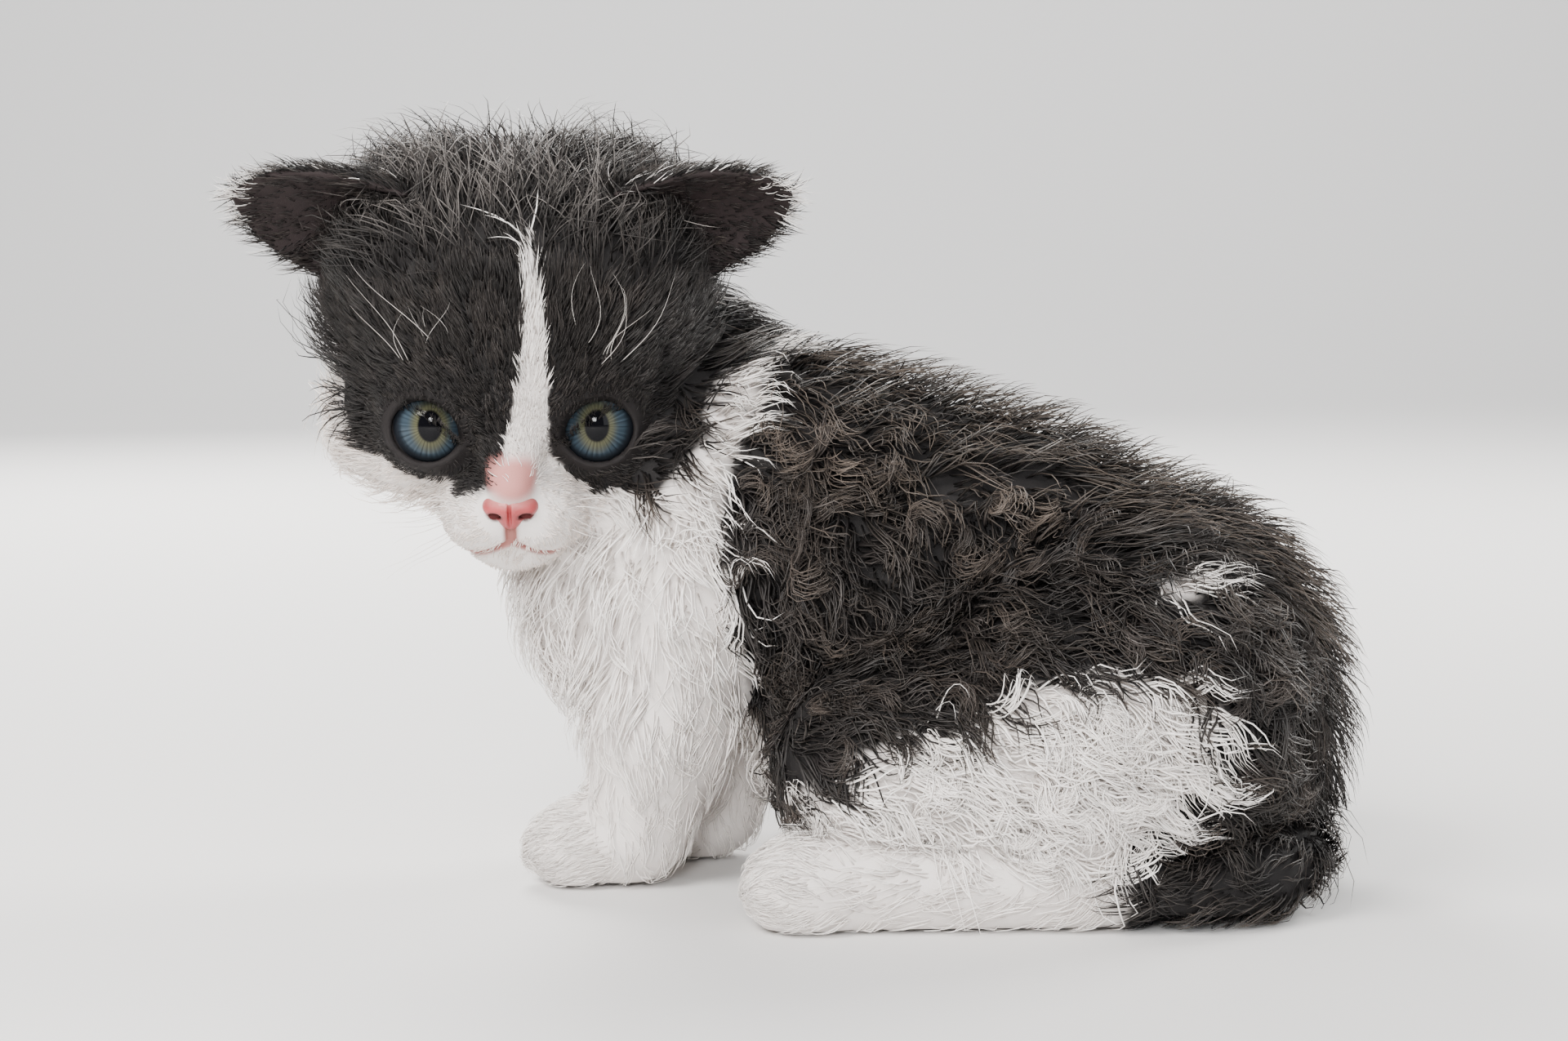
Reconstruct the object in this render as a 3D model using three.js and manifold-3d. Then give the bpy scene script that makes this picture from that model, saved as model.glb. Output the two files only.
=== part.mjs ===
// A curly-coated rex kitten about five weeks old, sitting with its head turned to its left: a still,
// life-size model. Millimetres, +Z up. The body faces -X, its left side faces -Y, and everything that rests
// lies on the plane z = 0.

import * as THREE from "three";
import { mergeVertices } from "three/addons/utils/BufferGeometryUtils.js";
import Module from "manifold-3d";

const wasm = await Module();
wasm.setup();

const { lerp, clamp, degToRad } = THREE.MathUtils;
const at = (x, y, z) => new THREE.Vector3(x, y, z);
const LEFT = -1;
const RIGHT = 1;

// Clearance between neighbouring pieces, measured outwards from the one that keeps its shape.
const GAP = 0.35;

// Where one piece only makes room for another, under the coat, the room is plainer and a little wider.
const ROOM = { headDetail: 6, legDetail: 3, gap: 1.1 };

// The head: its middle, how far it is turned from facing -Y, and how far the nose points down.
const HEAD_CENTRE = at(-44.6, -15, 86.7);
const HEAD_YAW = degToRad(13);
const HEAD_TILT = degToRad(25);

// The eyes, in the head's own axes: x to the nose, y to the kitten's left, z to the crown.
const EYE_RADIUS = 7.4;
const EYE_AT = at(12.8, 13.1, -5.2);
const EYE_SPLAY = degToRad(9);
const EYE_LIFT = degToRad(14);
const EYE_OPENING = { width: 10.8, height: 9.8 };
const LID_THICKNESS = 1.1;

// The ears: root and tip in the head's axes, width at the root and thickness with the short fur.
const EAR_ROOT = at(-5, 24, 22.5);
const EAR_TIP = at(-6, 44, 29);
const EAR_WIDTH = 22.5;
const EAR_THICK = 3;
const EAR_CUP_DEPTH = 6.5;

// How deep the long curly coat stands out from the short-furred form.
const COAT = { back: 11, chest: 7, neck: 7, crown: 8, cheek: 4, thigh: 8, tail: 6, leg: 2 };

// Distance fields. Each takes a point and the share, 0 to 1, of the long coat that is added to the form.
const ball = (centre, radii, coat = 0, pitch = 0) => {
  const [c, s] = [Math.cos(pitch), Math.sin(pitch)];
  return (p, share) => {
    const [dx, dy, dz] = [p.x - centre.x, p.y - centre.y, p.z - centre.z];
    const [x, z] = [c * dx - s * dz, s * dx + c * dz];
    const grown = radii.map((r) => r + share * coat);
    const near = Math.hypot(x / grown[0], dy / grown[1], z / grown[2]);
    const steep = Math.hypot(x / grown[0] ** 2, dy / grown[1] ** 2, z / grown[2] ** 2);
    return steep > 0 ? (near * (near - 1)) / steep : -Math.min(...grown);
  };
};

const limb = (from, to, startRadius, endRadius, coat = 0) => {
  const run = to.clone().sub(from);
  return (p, share) => {
    const along = clamp(p.clone().sub(from).dot(run) / run.lengthSq(), 0, 1);
    const radius = lerp(startRadius, endRadius, along) + share * coat;
    return p.distanceTo(from.clone().addScaledVector(run, along)) - radius;
  };
};

const melt = (softness, ...fields) => (p, share) =>
  fields
    .map((field) => field(p, share))
    .reduce((a, b) => {
      const h = clamp(0.5 + (0.5 * (b - a)) / softness, 0, 1);
      return lerp(b, a, h) - softness * h * (1 - h);
    });

// The head's axes as a matrix, and fields or points given in them.
const headForward = at(
  Math.sin(HEAD_YAW) * Math.cos(HEAD_TILT),
  -Math.cos(HEAD_YAW) * Math.cos(HEAD_TILT),
  -Math.sin(HEAD_TILT),
);
const headLeft = at(Math.cos(HEAD_YAW), Math.sin(HEAD_YAW), 0);
const headUp = headForward.clone().cross(headLeft);
const headFrame = new THREE.Matrix4().makeBasis(headForward, headLeft, headUp).setPosition(HEAD_CENTRE);
const intoHead = headFrame.clone().invert();
const inHead = (field) => (p, share) => field(p.clone().applyMatrix4(intoHead), share);
const headPoint = (x, y, z) => at(x, y, z).applyMatrix4(headFrame);
const headSide = (point, side) => headPoint(point.x, -side * point.y, point.z);
const headTurn = (x, y, z) => at(x, y, z).transformDirection(headFrame);

const headForm = inHead(
  melt(
    3,
    melt(
      6,
      ball(at(-5, 0, 5), [26, 26, 22.5], COAT.crown),
      ball(at(-8, 13, 12), [18, 15, 15], COAT.crown),
      ball(at(-8, -13, 12), [18, 15, 15], COAT.crown),
      ball(at(6.5, 0, 5), [13, 19, 12], 2),
      ball(at(-0.5, 17, -11), [13.5, 12.5, 11.5], COAT.cheek),
      ball(at(-0.5, -17, -11), [13.5, 12.5, 11.5], COAT.cheek),
      ball(at(10, 0, -18), [13, 12.5, 9], 2),
    ),
    limb(at(14, 0, 1), at(27, 0, -9), 7, 3.4),
    ball(at(21, 0, -14.5), [8, 9, 6.3]),
    ball(at(21.6, 6, -17.4), [5.6, 5.2, 5]),
    ball(at(21.6, -6, -17.4), [5.6, 5.2, 5]),
    ball(at(24.6, 4.1, -16.4), [5, 5, 4.4]),
    ball(at(24.6, -4.1, -16.4), [5, 5, 4.4]),
    ball(at(20.8, 0, -22.8), [5.6, 7, 4]),
    ball(EYE_AT, Array(3).fill(EYE_RADIUS + LID_THICKNESS)),
    ball(EYE_AT.clone().multiply(at(1, -1, 1)), Array(3).fill(EYE_RADIUS + LID_THICKNESS)),
  ),
);

const neckForm = melt(
  8,
  limb(at(-47, 1, 82), at(-30, 6, 74), 19, 21, COAT.neck),
  limb(at(-30, 6, 74), at(-10, 1, 60), 21, 23, COAT.neck),
);

const torsoForm = melt(
  10,
  ball(at(-22, 0, 50), [23, 20, 24], COAT.chest),
  ball(at(2, 0, 58), [26, 22, 23], COAT.back),
  ball(at(27, 0, 47.5), [30, 25, 25.5], COAT.back),
  ball(at(56, 0, 35), [26, 26, 26], COAT.back),
  ball(at(61, 0, 19), [19, 22, 19], COAT.back - 2),
  ball(at(18, 0, 30), [26, 17, 17], COAT.chest),
);

// The forelegs stand close together, the right one a little further back.
const FORELEG = {
  [LEFT]: { shift: 0, y: -12.5 },
  [RIGHT]: { shift: 7, y: 11.5 },
};
const forelegForm = (side) => {
  const { shift, y } = FORELEG[side];
  return melt(
    5,
    limb(at(-16 + shift, y * 1.15, 46), at(-20.5 + shift, y * 1.05, 27), 12.5, 10.5, COAT.leg),
    limb(at(-20.5 + shift, y * 1.05, 27), at(-25.5 + shift, y, 9), 10.5, 8.5, COAT.leg / 2),
  );
};
const pawForm = (side) => {
  const { shift, y } = FORELEG[side];
  return melt(
    2.5,
    ball(at(-31 + shift, y, 6.8), [11.4, 9.2, 7.6]),
    ball(at(-38 + shift, y - 3, 5.2), [5.6, 3.2, 5.4]),
    ball(at(-38 + shift, y + 3, 5.2), [5.6, 3.2, 5.4]),
    ball(at(-35 + shift, y - 7, 4.8), [5.2, 3, 4.9]),
    ball(at(-35 + shift, y + 7, 4.8), [5.2, 3, 4.9]),
  );
};

// The hind legs are folded, with the long hind foot flat on the floor and its toes turned a little outwards.
const HEEL = at(56, 28, 8);
const TOES = at(11, 40, 6.5);
const PELVIS_HALF_WIDTH = 17;
const KNEE = at(17, 31, 24);
const HIP = at(55, 21, 33);
const mirrored = (point, side) => at(point.x, side * point.y, point.z);
const thighForm = (side) =>
  melt(
    8,
    ball(mirrored(HIP, side), [25, 15, 23], COAT.thigh, degToRad(-18)),
    limb(mirrored(at(44, 25, 30), side), mirrored(KNEE, side), 18, 11, COAT.thigh * 0.7),
    limb(mirrored(KNEE, side), mirrored(at(50, 29, 14), side), 11, 9, COAT.leg),
  );
const footForm = (side) =>
  melt(
    4,
    limb(mirrored(HEEL, side), mirrored(TOES, side), 9, 7.6, COAT.leg / 2),
    ball(mirrored(at(8.5, 40.5, 6.4), side), [9.5, 9.6, 7.3]),
    ball(mirrored(at(4.6, 37.2, 5.4), side), [4.6, 3.9, 5.6]),
    ball(mirrored(at(4.2, 44.6, 5.4), side), [4.6, 3.9, 5.6]),
  );

// The tail lies on the floor, from under the rump round to the left heel.
const TAIL_ROUTE = new THREE.CatmullRomCurve3([
  at(62, 14, 12),
  at(76, 8, 8.5),
  at(81, -7, 7.5),
  at(78.5, -20, 7),
  at(71, -28, 6.5),
  at(64.5, -32.5, 6),
]);
const TAIL_RADIUS = 5.2;

// A geometry as a solid, and a solid as a geometry.
function solidOf(geometry) {
  const bare = geometry.clone();
  bare.deleteAttribute("normal");
  bare.deleteAttribute("uv");
  const merged = mergeVertices(bare, 1e-4);
  const mesh = new wasm.Mesh({
    numProp: 3,
    vertProperties: merged.getAttribute("position").array,
    triVerts: new Uint32Array(merged.index.array),
  });
  return new wasm.Manifold(mesh);
}

function geometryOf(solid) {
  const { vertProperties, triVerts, numProp } = solid.getMesh();
  const places = new Float32Array((vertProperties.length / numProp) * 3);
  for (let i = 0; i < places.length / 3; i++) {
    places.set(vertProperties.subarray(i * numProp, i * numProp + 3), i * 3);
  }
  const geometry = new THREE.BufferGeometry();
  geometry.setAttribute("position", new THREE.BufferAttribute(places, 3));
  geometry.setIndex(new THREE.BufferAttribute(triVerts, 1));
  geometry.computeVertexNormals();
  return geometry;
}

const joined = (solids) => solids.reduce((a, b) => a.add(b));

const largest = (solid) =>
  solid.decompose().reduce((best, piece) => (piece.volume() > best.volume() ? piece : best));

// The place where a ray from outside first meets a field's surface, walking in towards its start.
function landing(field, share, grow, start, direction, reach) {
  let distance = reach;
  for (let step = 0; step < 200 && distance > 0; step++) {
    const gap = field(start.clone().addScaledVector(direction, distance), share) - grow;
    if (gap < 0.01) break;
    distance -= Math.max(0.7 * gap, 0.02);
  }
  return start.clone().addScaledVector(direction, distance);
}

// A ball of triangles drawn in on a field. Its rays start along a line through the form, and crowd
// towards a pull.
function wrap(field, { centre, half = at(0, 0, 0), detail, pull = at(0, 0, 0), reach = 90 }, share, grow) {
  const geometry = new THREE.IcosahedronGeometry(1, detail);
  const places = geometry.getAttribute("position");
  const axis = half.clone().normalize();
  for (let i = 0; i < places.count; i++) {
    const direction = new THREE.Vector3().fromBufferAttribute(places, i).add(pull).normalize();
    const start = centre.clone().addScaledVector(half, direction.dot(axis));
    const place = landing(field, share, grow, start, direction, reach);
    places.setXYZ(i, place.x, place.y, place.z);
  }
  return solidOf(geometry);
}

// A closed tube along a curve. width and thick give its half sizes at t from 0 to 1, and face is its
// flat side.
function sweep(curve, { steps, sides, width, thick, face, grow = 0 }) {
  const places = [];
  const ringStart = (ring) => 1 + ring * sides;
  const point = (t) => curve.getPoint(clamp(t, 0, 1));
  places.push(point(0).addScaledVector(curve.getTangent(0), -grow));
  for (let ring = 0; ring < steps; ring++) {
    const t = (ring + 0.5) / steps;
    const tangent = curve.getTangent(t);
    const across = tangent.clone().cross(face).normalize();
    const out = across.clone().cross(tangent).normalize();
    for (let side = 0; side < sides; side++) {
      const angle = (2 * Math.PI * side) / sides;
      places.push(
        point(t)
          .addScaledVector(across, Math.cos(angle) * (width(t) + grow))
          .addScaledVector(out, Math.sin(angle) * (thick(t) + grow)),
      );
    }
  }
  places.push(point(1).addScaledVector(curve.getTangent(1), grow));
  const faces = [];
  for (let side = 0; side < sides; side++) {
    const next = (side + 1) % sides;
    faces.push(0, ringStart(0) + next, ringStart(0) + side);
    faces.push(places.length - 1, ringStart(steps - 1) + side, ringStart(steps - 1) + next);
    for (let ring = 0; ring < steps - 1; ring++) {
      const [a, b] = [ringStart(ring) + side, ringStart(ring) + next];
      const [c, d] = [ringStart(ring + 1) + side, ringStart(ring + 1) + next];
      faces.push(a, b, d, a, d, c);
    }
  }
  const geometry = new THREE.BufferGeometry().setFromPoints(places);
  geometry.setIndex(faces);
  const solid = solidOf(geometry);
  return solid.volume() > 0 ? solid : solidOf(flipped(geometry));
}

function flipped(geometry) {
  const order = geometry.index.array;
  for (let i = 0; i < order.length; i += 3) [order[i], order[i + 1]] = [order[i + 1], order[i]];
  return geometry;
}

// Eyes
const eyePlace = (side) => headSide(EYE_AT, side);
const eyeGaze = (side) => headTurn(Math.cos(EYE_SPLAY), -side * Math.sin(EYE_SPLAY), Math.tan(EYE_LIFT));
function eyeball(side, grow) {
  const radius = EYE_RADIUS + grow;
  const geometry = new THREE.SphereGeometry(radius, 12, 8);
  const turn = new THREE.Quaternion().setFromUnitVectors(at(0, 1, 0), eyeGaze(side));
  geometry.applyQuaternion(turn);
  geometry.translate(...eyePlace(side).toArray());
  return solidOf(geometry);
}

// The opening between the lids: a short widening sleeve along the gaze.
function lidOpening(side) {
  const sleeve = new THREE.CylinderGeometry(1.12, 0.94, 12, 14);
  sleeve.translate(0, 6 + EYE_RADIUS * 0.62, 0);
  sleeve.scale(EYE_OPENING.width / 2, 1, EYE_OPENING.height / 2);
  sleeve.applyMatrix4(new THREE.Matrix4().makeBasis(at(0, 1, 0), at(1, 0, 0), at(0, 0, -1)));
  sleeve.rotateY(-EYE_LIFT);
  sleeve.rotateZ(-side * EYE_SPLAY);
  sleeve.translate(EYE_AT.x, -side * EYE_AT.y, EYE_AT.z);
  sleeve.applyMatrix4(headFrame);
  return solidOf(sleeve);
}

// Nose and mouth, in the head's axes. Points that lie on the skin are found along a ray from the middle
// of the muzzle.
const MUZZLE_CORE = at(15, 0, -15);
const onMuzzle = (y, z) => {
  const direction = at(30, y, z).sub(MUZZLE_CORE).normalize().transformDirection(headFrame);
  return landing(headForm, 0, 0, headPoint(...MUZZLE_CORE.toArray()), direction, 30);
};

function nosePad() {
  const pad = new THREE.SphereGeometry(1, 12, 8);
  pad.scale(2.6, 4.3, 2.9);
  pad.translate(28.3, 0, -10.9);
  pad.applyMatrix4(headFrame);
  return solidOf(pad);
}

function nostril(side) {
  const hollow = new THREE.SphereGeometry(1, 8, 6);
  hollow.scale(1.6, 1.25, 0.8);
  hollow.rotateX(-side * degToRad(-35));
  hollow.translate(30.2, -side * 2.5, -12);
  hollow.applyMatrix4(headFrame);
  return solidOf(hollow);
}

function mouthLine() {
  const crease = (points) =>
    sweep(new THREE.CatmullRomCurve3(points), {
      steps: 5,
      sides: 4,
      width: () => 0.55,
      thick: () => 0.9,
      face: headForward,
    });
  const middle = onMuzzle(0, -18.4);
  const lip = [[4, -20.6], [8.6, -22.6], [14, -24.5]];
  const half = (side) => crease([middle, ...lip.map(([aside, up]) => onMuzzle(side * aside, up))]);
  return joined([crease([onMuzzle(0, -13.4), onMuzzle(0, -15.6), middle]), half(LEFT), half(RIGHT)]);
}

// Ears: a curved triangular shell, hollow to the front, with the same triangles on both faces.
function earShell(side, grow) {
  const root = headSide(EAR_ROOT, side);
  const tip = headSide(EAR_TIP, side);
  const axis = tip.clone().sub(root);
  const back = headTurn(-0.95, 0, 0.3);
  const across = axis.clone().normalize().cross(back).normalize();
  const depth = across.clone().cross(axis).normalize();
  depth.multiplyScalar(Math.sign(depth.dot(back)));
  const [rows, columns] = [6, 6];
  const spot = (row, column, layer) => {
    const t = row / rows;
    const s = (2 * column) / columns - 1;
    const halfWidth = (EAR_WIDTH / 2) * Math.pow(1 - 0.97 * Math.pow(t, 2.4), 0.7);
    const hollow = EAR_CUP_DEPTH * (1 - t) * (1 - s * s);
    const thick = EAR_THICK * (1 - 0.45 * t) * (1 - 0.5 * s * s) + 2 * grow;
    return root
      .clone()
      .addScaledVector(axis, t * (1 + 0.04 * (1 - s * s)) + (t > 0 ? grow / axis.length() : 0))
      .addScaledVector(across, s * (halfWidth + grow))
      .addScaledVector(depth, hollow - EAR_CUP_DEPTH / 2 + (layer - 0.5) * thick);
  };
  const places = [];
  const index = (row, column, layer) => (layer * (rows + 1) + row) * (columns + 1) + column;
  for (const layer of [0, 1]) {
    for (let row = 0; row <= rows; row++) {
      for (let column = 0; column <= columns; column++) places.push(spot(row, column, layer));
    }
  }
  const faces = [];
  const quad = (a, b, c, d) => faces.push(a, b, c, a, c, d);
  const edge = (from, to) => quad(index(...from, 0), index(...from, 1), index(...to, 1), index(...to, 0));
  for (let row = 0; row < rows; row++) {
    for (let column = 0; column < columns; column++) {
      const corners = (layer) => [
        index(row, column, layer),
        index(row, column + 1, layer),
        index(row + 1, column + 1, layer),
        index(row + 1, column, layer),
      ];
      quad(...corners(0).reverse());
      quad(...corners(1));
    }
    edge([row, 0], [row + 1, 0]);
    edge([row + 1, columns], [row, columns]);
  }
  for (let column = 0; column < columns; column++) {
    edge([0, column + 1], [0, column]);
    edge([rows, column], [rows, column + 1]);
  }
  const geometry = new THREE.BufferGeometry().setFromPoints(places);
  geometry.setIndex(faces);
  const solid = solidOf(geometry);
  return solid.volume() > 0 ? solid : solidOf(flipped(geometry));
}

function earRoot(side, grow) {
  const base = headSide(EAR_ROOT, side);
  const knob = ball(base, [6, 6.5, 7.5]);
  return wrap(knob, { centre: base, detail: 1, reach: 20 }, 0, grow);
}

// The long coat: tufts set close over each core, which itself holds only this share of the coat's depth.
const CORE_SHARE = 0.5;
const TUFT_SUNK = 2.6;
const TUFT_FLOOR = 3;
const plump = (t) => Math.pow(Math.sin(Math.PI * (0.1 + 0.8 * t)), 0.55);
const tapered = (t) => Math.pow(1 - t, 0.55) + 0.05;
// length, width and thick are in mm; rise and tip tell how high the tuft's shoulder and its end stand,
// where 1 is the coat's full depth; bend is how far it swings aside.
const STYLES = {
  curl: { length: 17, width: 6.6, thick: 3, rise: 0.9, tip: 0.6, bend: 3.5, sides: 5, profile: plump },
  spike: { length: 19, width: 6, thick: 2.1, rise: 0.75, tip: 1.15, bend: 2.5, sides: 4, profile: tapered },
  crest: { length: 12, width: 4.4, thick: 1.7, rise: 0.75, tip: 1.1, bend: 1.6, sides: 4, profile: tapered },
  bib: { length: 18, width: 5.4, thick: 2, rise: 0.8, tip: 1.1, bend: 2.4, sides: 4, profile: tapered },
};

// Repeatable chance, from a small seeded generator.
function chance(seed) {
  let state = seed;
  return () => {
    state = (state * 16807) % 2147483647;
    return state / 2147483647;
  };
}

const slope = (field, share, p) => {
  const reach = 0.5;
  const lean = (step) => field(p.clone().add(step), share) - field(p.clone().sub(step), share);
  return at(lean(at(reach, 0, 0)), lean(at(0, reach, 0)), lean(at(0, 0, reach))).normalize();
};

// One tuft: a flat-sided tube that leaves its root, bends over along the lie and swings aside.
function tuft({ root, normal, lie, style, height, size, swing }, grow) {
  const across = normal.clone().cross(lie).normalize();
  const spot = (along, up, aside) =>
    root
      .clone()
      .addScaledVector(lie, along * style.length * size)
      .addScaledVector(normal, up * height)
      .addScaledVector(across, aside * swing * style.bend);
  const sunk = root.clone().addScaledVector(normal, -TUFT_SUNK).addScaledVector(lie, -0.1 * style.length);
  const shoulder = spot(0.2, style.rise, 0.3);
  const turn = spot(0.62, lerp(style.rise, style.tip, 0.6), 1);
  return sweep(new THREE.CatmullRomCurve3([sunk, shoulder, turn, spot(1, style.tip, 0.2)]), {
    steps: 3,
    sides: style.sides,
    width: (t) => style.width * size * style.profile(t),
    thick: (t) => style.thick * size * style.profile(t),
    face: normal,
    grow,
  });
}

// The tufts of one form, where rays of an even spiral leave its core. choose gives a place's style and lie,
// or nothing.
function tuftsOver(field, { centre, half = at(0, 0, 0) }, { rays, seed, choose, reach = 90 }) {
  const draw = chance(seed);
  const axis = half.clone().normalize();
  const tufts = [];
  for (let i = 0; i < rays; i++) {
    const height = 1 - (2 * (i + 0.5)) / rays;
    const round = Math.sqrt(1 - height * height);
    const turn = i * Math.PI * (3 - Math.sqrt(5));
    const direction = at(height, round * Math.cos(turn), round * Math.sin(turn));
    const start = centre.clone().addScaledVector(half, direction.dot(axis));
    const root = landing(field, CORE_SHARE, 0, start, direction, reach);
    const normal = slope(field, CORE_SHARE, root);
    const [size, swing] = [lerp(0.85, 1.15, draw()), lerp(-1, 1, draw())];
    const picked = choose(root, normal);
    if (!picked) continue;
    const lie = picked.lie.clone().addScaledVector(normal, -picked.lie.dot(normal)).normalize();
    const tipped = root.clone().addScaledVector(lie, picked.style.length * size);
    if (tipped.z < TUFT_FLOOR) continue;
    tufts.push({ root, normal, lie, style: picked.style, height: -field(root, 1), size, swing });
  }
  return tufts;
}

const clearOf = (place, margin, ...fields) => fields.every((field) => field(place, CORE_SHARE) > margin);

// Where each form's tufts grow and which way they lie.
const LOWEST_ROOT = 9;
function torsoTufts() {
  const thighs = [thighForm(LEFT), thighForm(RIGHT)];
  const choose = (root, normal) => {
    const [onChest, onBack, onRump] = [normal.x < -0.45, normal.z > 0.5, normal.x > 0.75];
    if (root.z < LOWEST_ROOT || !clearOf(root, 2.5, ...thighs, headForm, neckForm)) return null;
    if (onChest) return { style: STYLES.bib, lie: at(-0.35, 0, -1) };
    if (onBack || onRump) return { style: STYLES.spike, lie: at(1, 0.25 * normal.y, -0.45) };
    return { style: STYLES.curl, lie: at(0.75, 0, -0.8) };
  };
  return tuftsOver(torsoForm, WRAPS.torso, { rays: 66, seed: 11, choose });
}

function neckTufts() {
  const choose = (root, normal) => {
    if (!clearOf(root, 0, torsoForm, headForm)) return null;
    return normal.x < -0.3
      ? { style: STYLES.bib, lie: at(-0.2, 0, -1) }
      : { style: STYLES.spike, lie: at(0.9, 0.2 * normal.y, -0.5) };
  };
  return tuftsOver(neckForm, WRAPS.neck, { rays: 36, seed: 23, choose });
}

// Places on the head in its own axes: the crest stands on the crown, the ruff behind the cheeks, and
// neither by an ear.
const CREST = { forward: 6, above: 17 };
const RUFF = { forward: 0, outside: 18, below: 6 };
const EAR_CLEAR = { aside: 27, within: 7, above: 8, forward: 6 };
function headTufts() {
  const choose = (root) => {
    const place = root.clone().applyMatrix4(intoHead);
    const [aside, outward] = [Math.abs(place.y), Math.sign(place.y)];
    const inLine = Math.abs(aside - EAR_CLEAR.aside) < EAR_CLEAR.within;
    if (inLine && place.z > EAR_CLEAR.above && place.x < EAR_CLEAR.forward) return null;
    if (place.z > CREST.above && place.x < CREST.forward) {
      return { style: STYLES.crest, lie: headTurn(-0.5, 0.5 * outward, 0.3) };
    }
    if (place.x < RUFF.forward && aside > RUFF.outside && place.z < RUFF.below) {
      return { style: STYLES.crest, lie: headTurn(-0.5, 0.7 * outward, -0.6) };
    }
    return null;
  };
  return tuftsOver(headForm, WRAPS.head, { rays: 112, seed: 37, choose, reach: 60 });
}

const LOWEST_THIGH_ROOT = 15;
function thighTufts(side) {
  const choose = (root, normal) => {
    const inner = side * root.y < PELVIS_HALF_WIDTH + 4;
    const under = normal.z < -0.3 || root.z < LOWEST_THIGH_ROOT;
    if (inner || under || !clearOf(root, 0.5, torsoForm)) return null;
    return { style: STYLES.curl, lie: at(0.8, 0, -0.65) };
  };
  return tuftsOver(thighForm(side), thighRays(side), { rays: 36, seed: 41 + side, choose });
}

// Tufts round the tail, each lying towards its tip.
const TAIL_TUFTS = { rows: 3, around: 3 };
function tailTufts() {
  const draw = chance(53);
  const tufts = [];
  for (let row = 0; row < TAIL_TUFTS.rows; row++) {
    const t = lerp(0.3, 0.9, row / (TAIL_TUFTS.rows - 1));
    const lie = TAIL_ROUTE.getTangent(t);
    const aside = lie.clone().cross(at(0, 0, 1)).normalize();
    for (let around = 0; around < TAIL_TUFTS.around; around++) {
      const angle = (Math.PI * (around + 0.5 + 0.5 * (row % 2))) / (TAIL_TUFTS.around + 0.5);
      const normal = aside.clone().multiplyScalar(Math.cos(angle)).add(at(0, 0, Math.sin(angle))).normalize();
      const root = TAIL_ROUTE.getPoint(t).addScaledVector(normal, tailRadius(t, CORE_SHARE));
      const [size, swing] = [lerp(0.7, 0.95, draw()), lerp(-1, 1, draw())];
      const height = (1 - CORE_SHARE) * COAT.tail;
      tufts.push({ root, normal, lie, style: STYLES.spike, height, size, swing });
    }
  }
  return tufts;
}

// Short locks that fringe an ear's edge and tip.
const FRINGE_HEIGHT = 1.5;
const FRINGE = { ...STYLES.crest, length: 7, width: 2.8, thick: 1.1, rise: 0.1, tip: 0.5, bend: 1 };
function earFringe(side) {
  const axis = headSide(EAR_TIP, side).sub(headSide(EAR_ROOT, side));
  const normal = headTurn(-0.95, 0, 0.3);
  const draw = chance(67 + side);
  return [-0.6, 0, 0.6].map((across, i) => {
    const lie = axis.clone().normalize().addScaledVector(headTurn(0, 0, 1), across * 0.5).normalize();
    const depth = EAR_CUP_DEPTH * 0.12;
    const root = headSide(EAR_ROOT, side)
      .addScaledVector(axis, 0.86 - 0.34 * across * across)
      .addScaledVector(headTurn(0, 0, 1), across * 0.42 * EAR_WIDTH * 0.8)
      .addScaledVector(normal, depth - EAR_CUP_DEPTH / 2);
    const [size, swing] = [lerp(0.85, 1.1, draw()), i % 2 ? 1 : -1];
    return { root, normal, lie, style: FRINGE, height: FRINGE_HEIGHT, size, swing };
  });
}

// The core of each piece: share is how much of the long coat it holds.
const WRAPS = {
  head: { centre: headPoint(2, 0, -3), detail: 8, pull: headForward.clone().multiplyScalar(0.55) },
  neck: { centre: at(-29, 5, 72), half: at(14, 0, -8), detail: 3 },
  torso: { centre: at(30, 0, 42), half: at(34, 0, -8), detail: 4 },
};

const foreleg = (side, share, grow) => {
  const { shift, y } = FORELEG[side];
  const shank = { centre: at(-20.5 + shift, y * 1.05, 27), half: at(3, 0, 17), detail: 3 };
  const paw = { centre: at(-32 + shift, y, 5.5), detail: 4, pull: at(-0.3, 0, 0) };
  return wrap(forelegForm(side), shank, share, grow).add(wrap(pawForm(side), paw, share, grow));
};

const thighRays = (side) => ({ centre: mirrored(at(42, 24, 30), side), half: at(16, 0, 4) });
const hindLeg = (side, share, grow, detail = 4) => {
  const pelvis = new THREE.BoxGeometry(400, 2 * (PELVIS_HALF_WIDTH - grow), 400);
  const thigh = { ...thighRays(side), detail: Math.min(detail, 4) };
  const foot = { centre: mirrored(at(33, 34, 7.5), side), half: at(19, side * -5, 0), detail };
  return wrap(thighForm(side), thigh, share, grow)
    .subtract(solidOf(pelvis))
    .add(wrap(footForm(side), foot, share, grow));
};
const tailRadius = (t, share) => (TAIL_RADIUS + share * COAT.tail) * Math.pow(1 - 0.55 * t * t, 0.9);
const tail = (share, grow) => {
  const radius = (t) => tailRadius(t, share);
  return sweep(TAIL_ROUTE, { steps: 10, sides: 8, width: radius, thick: radius, face: at(0, 0, 1), grow });
};

// Nothing reaches under the floor: a deep slab takes off what would.
function aboveFloor(solid) {
  const slab = new THREE.BoxGeometry(400, 400, 60);
  slab.translate(0, 0, -30);
  return solid.subtract(solidOf(slab));
}

const without = (solid, ...others) => largest(others.reduce((rest, other) => rest.subtract(other), solid));

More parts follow.
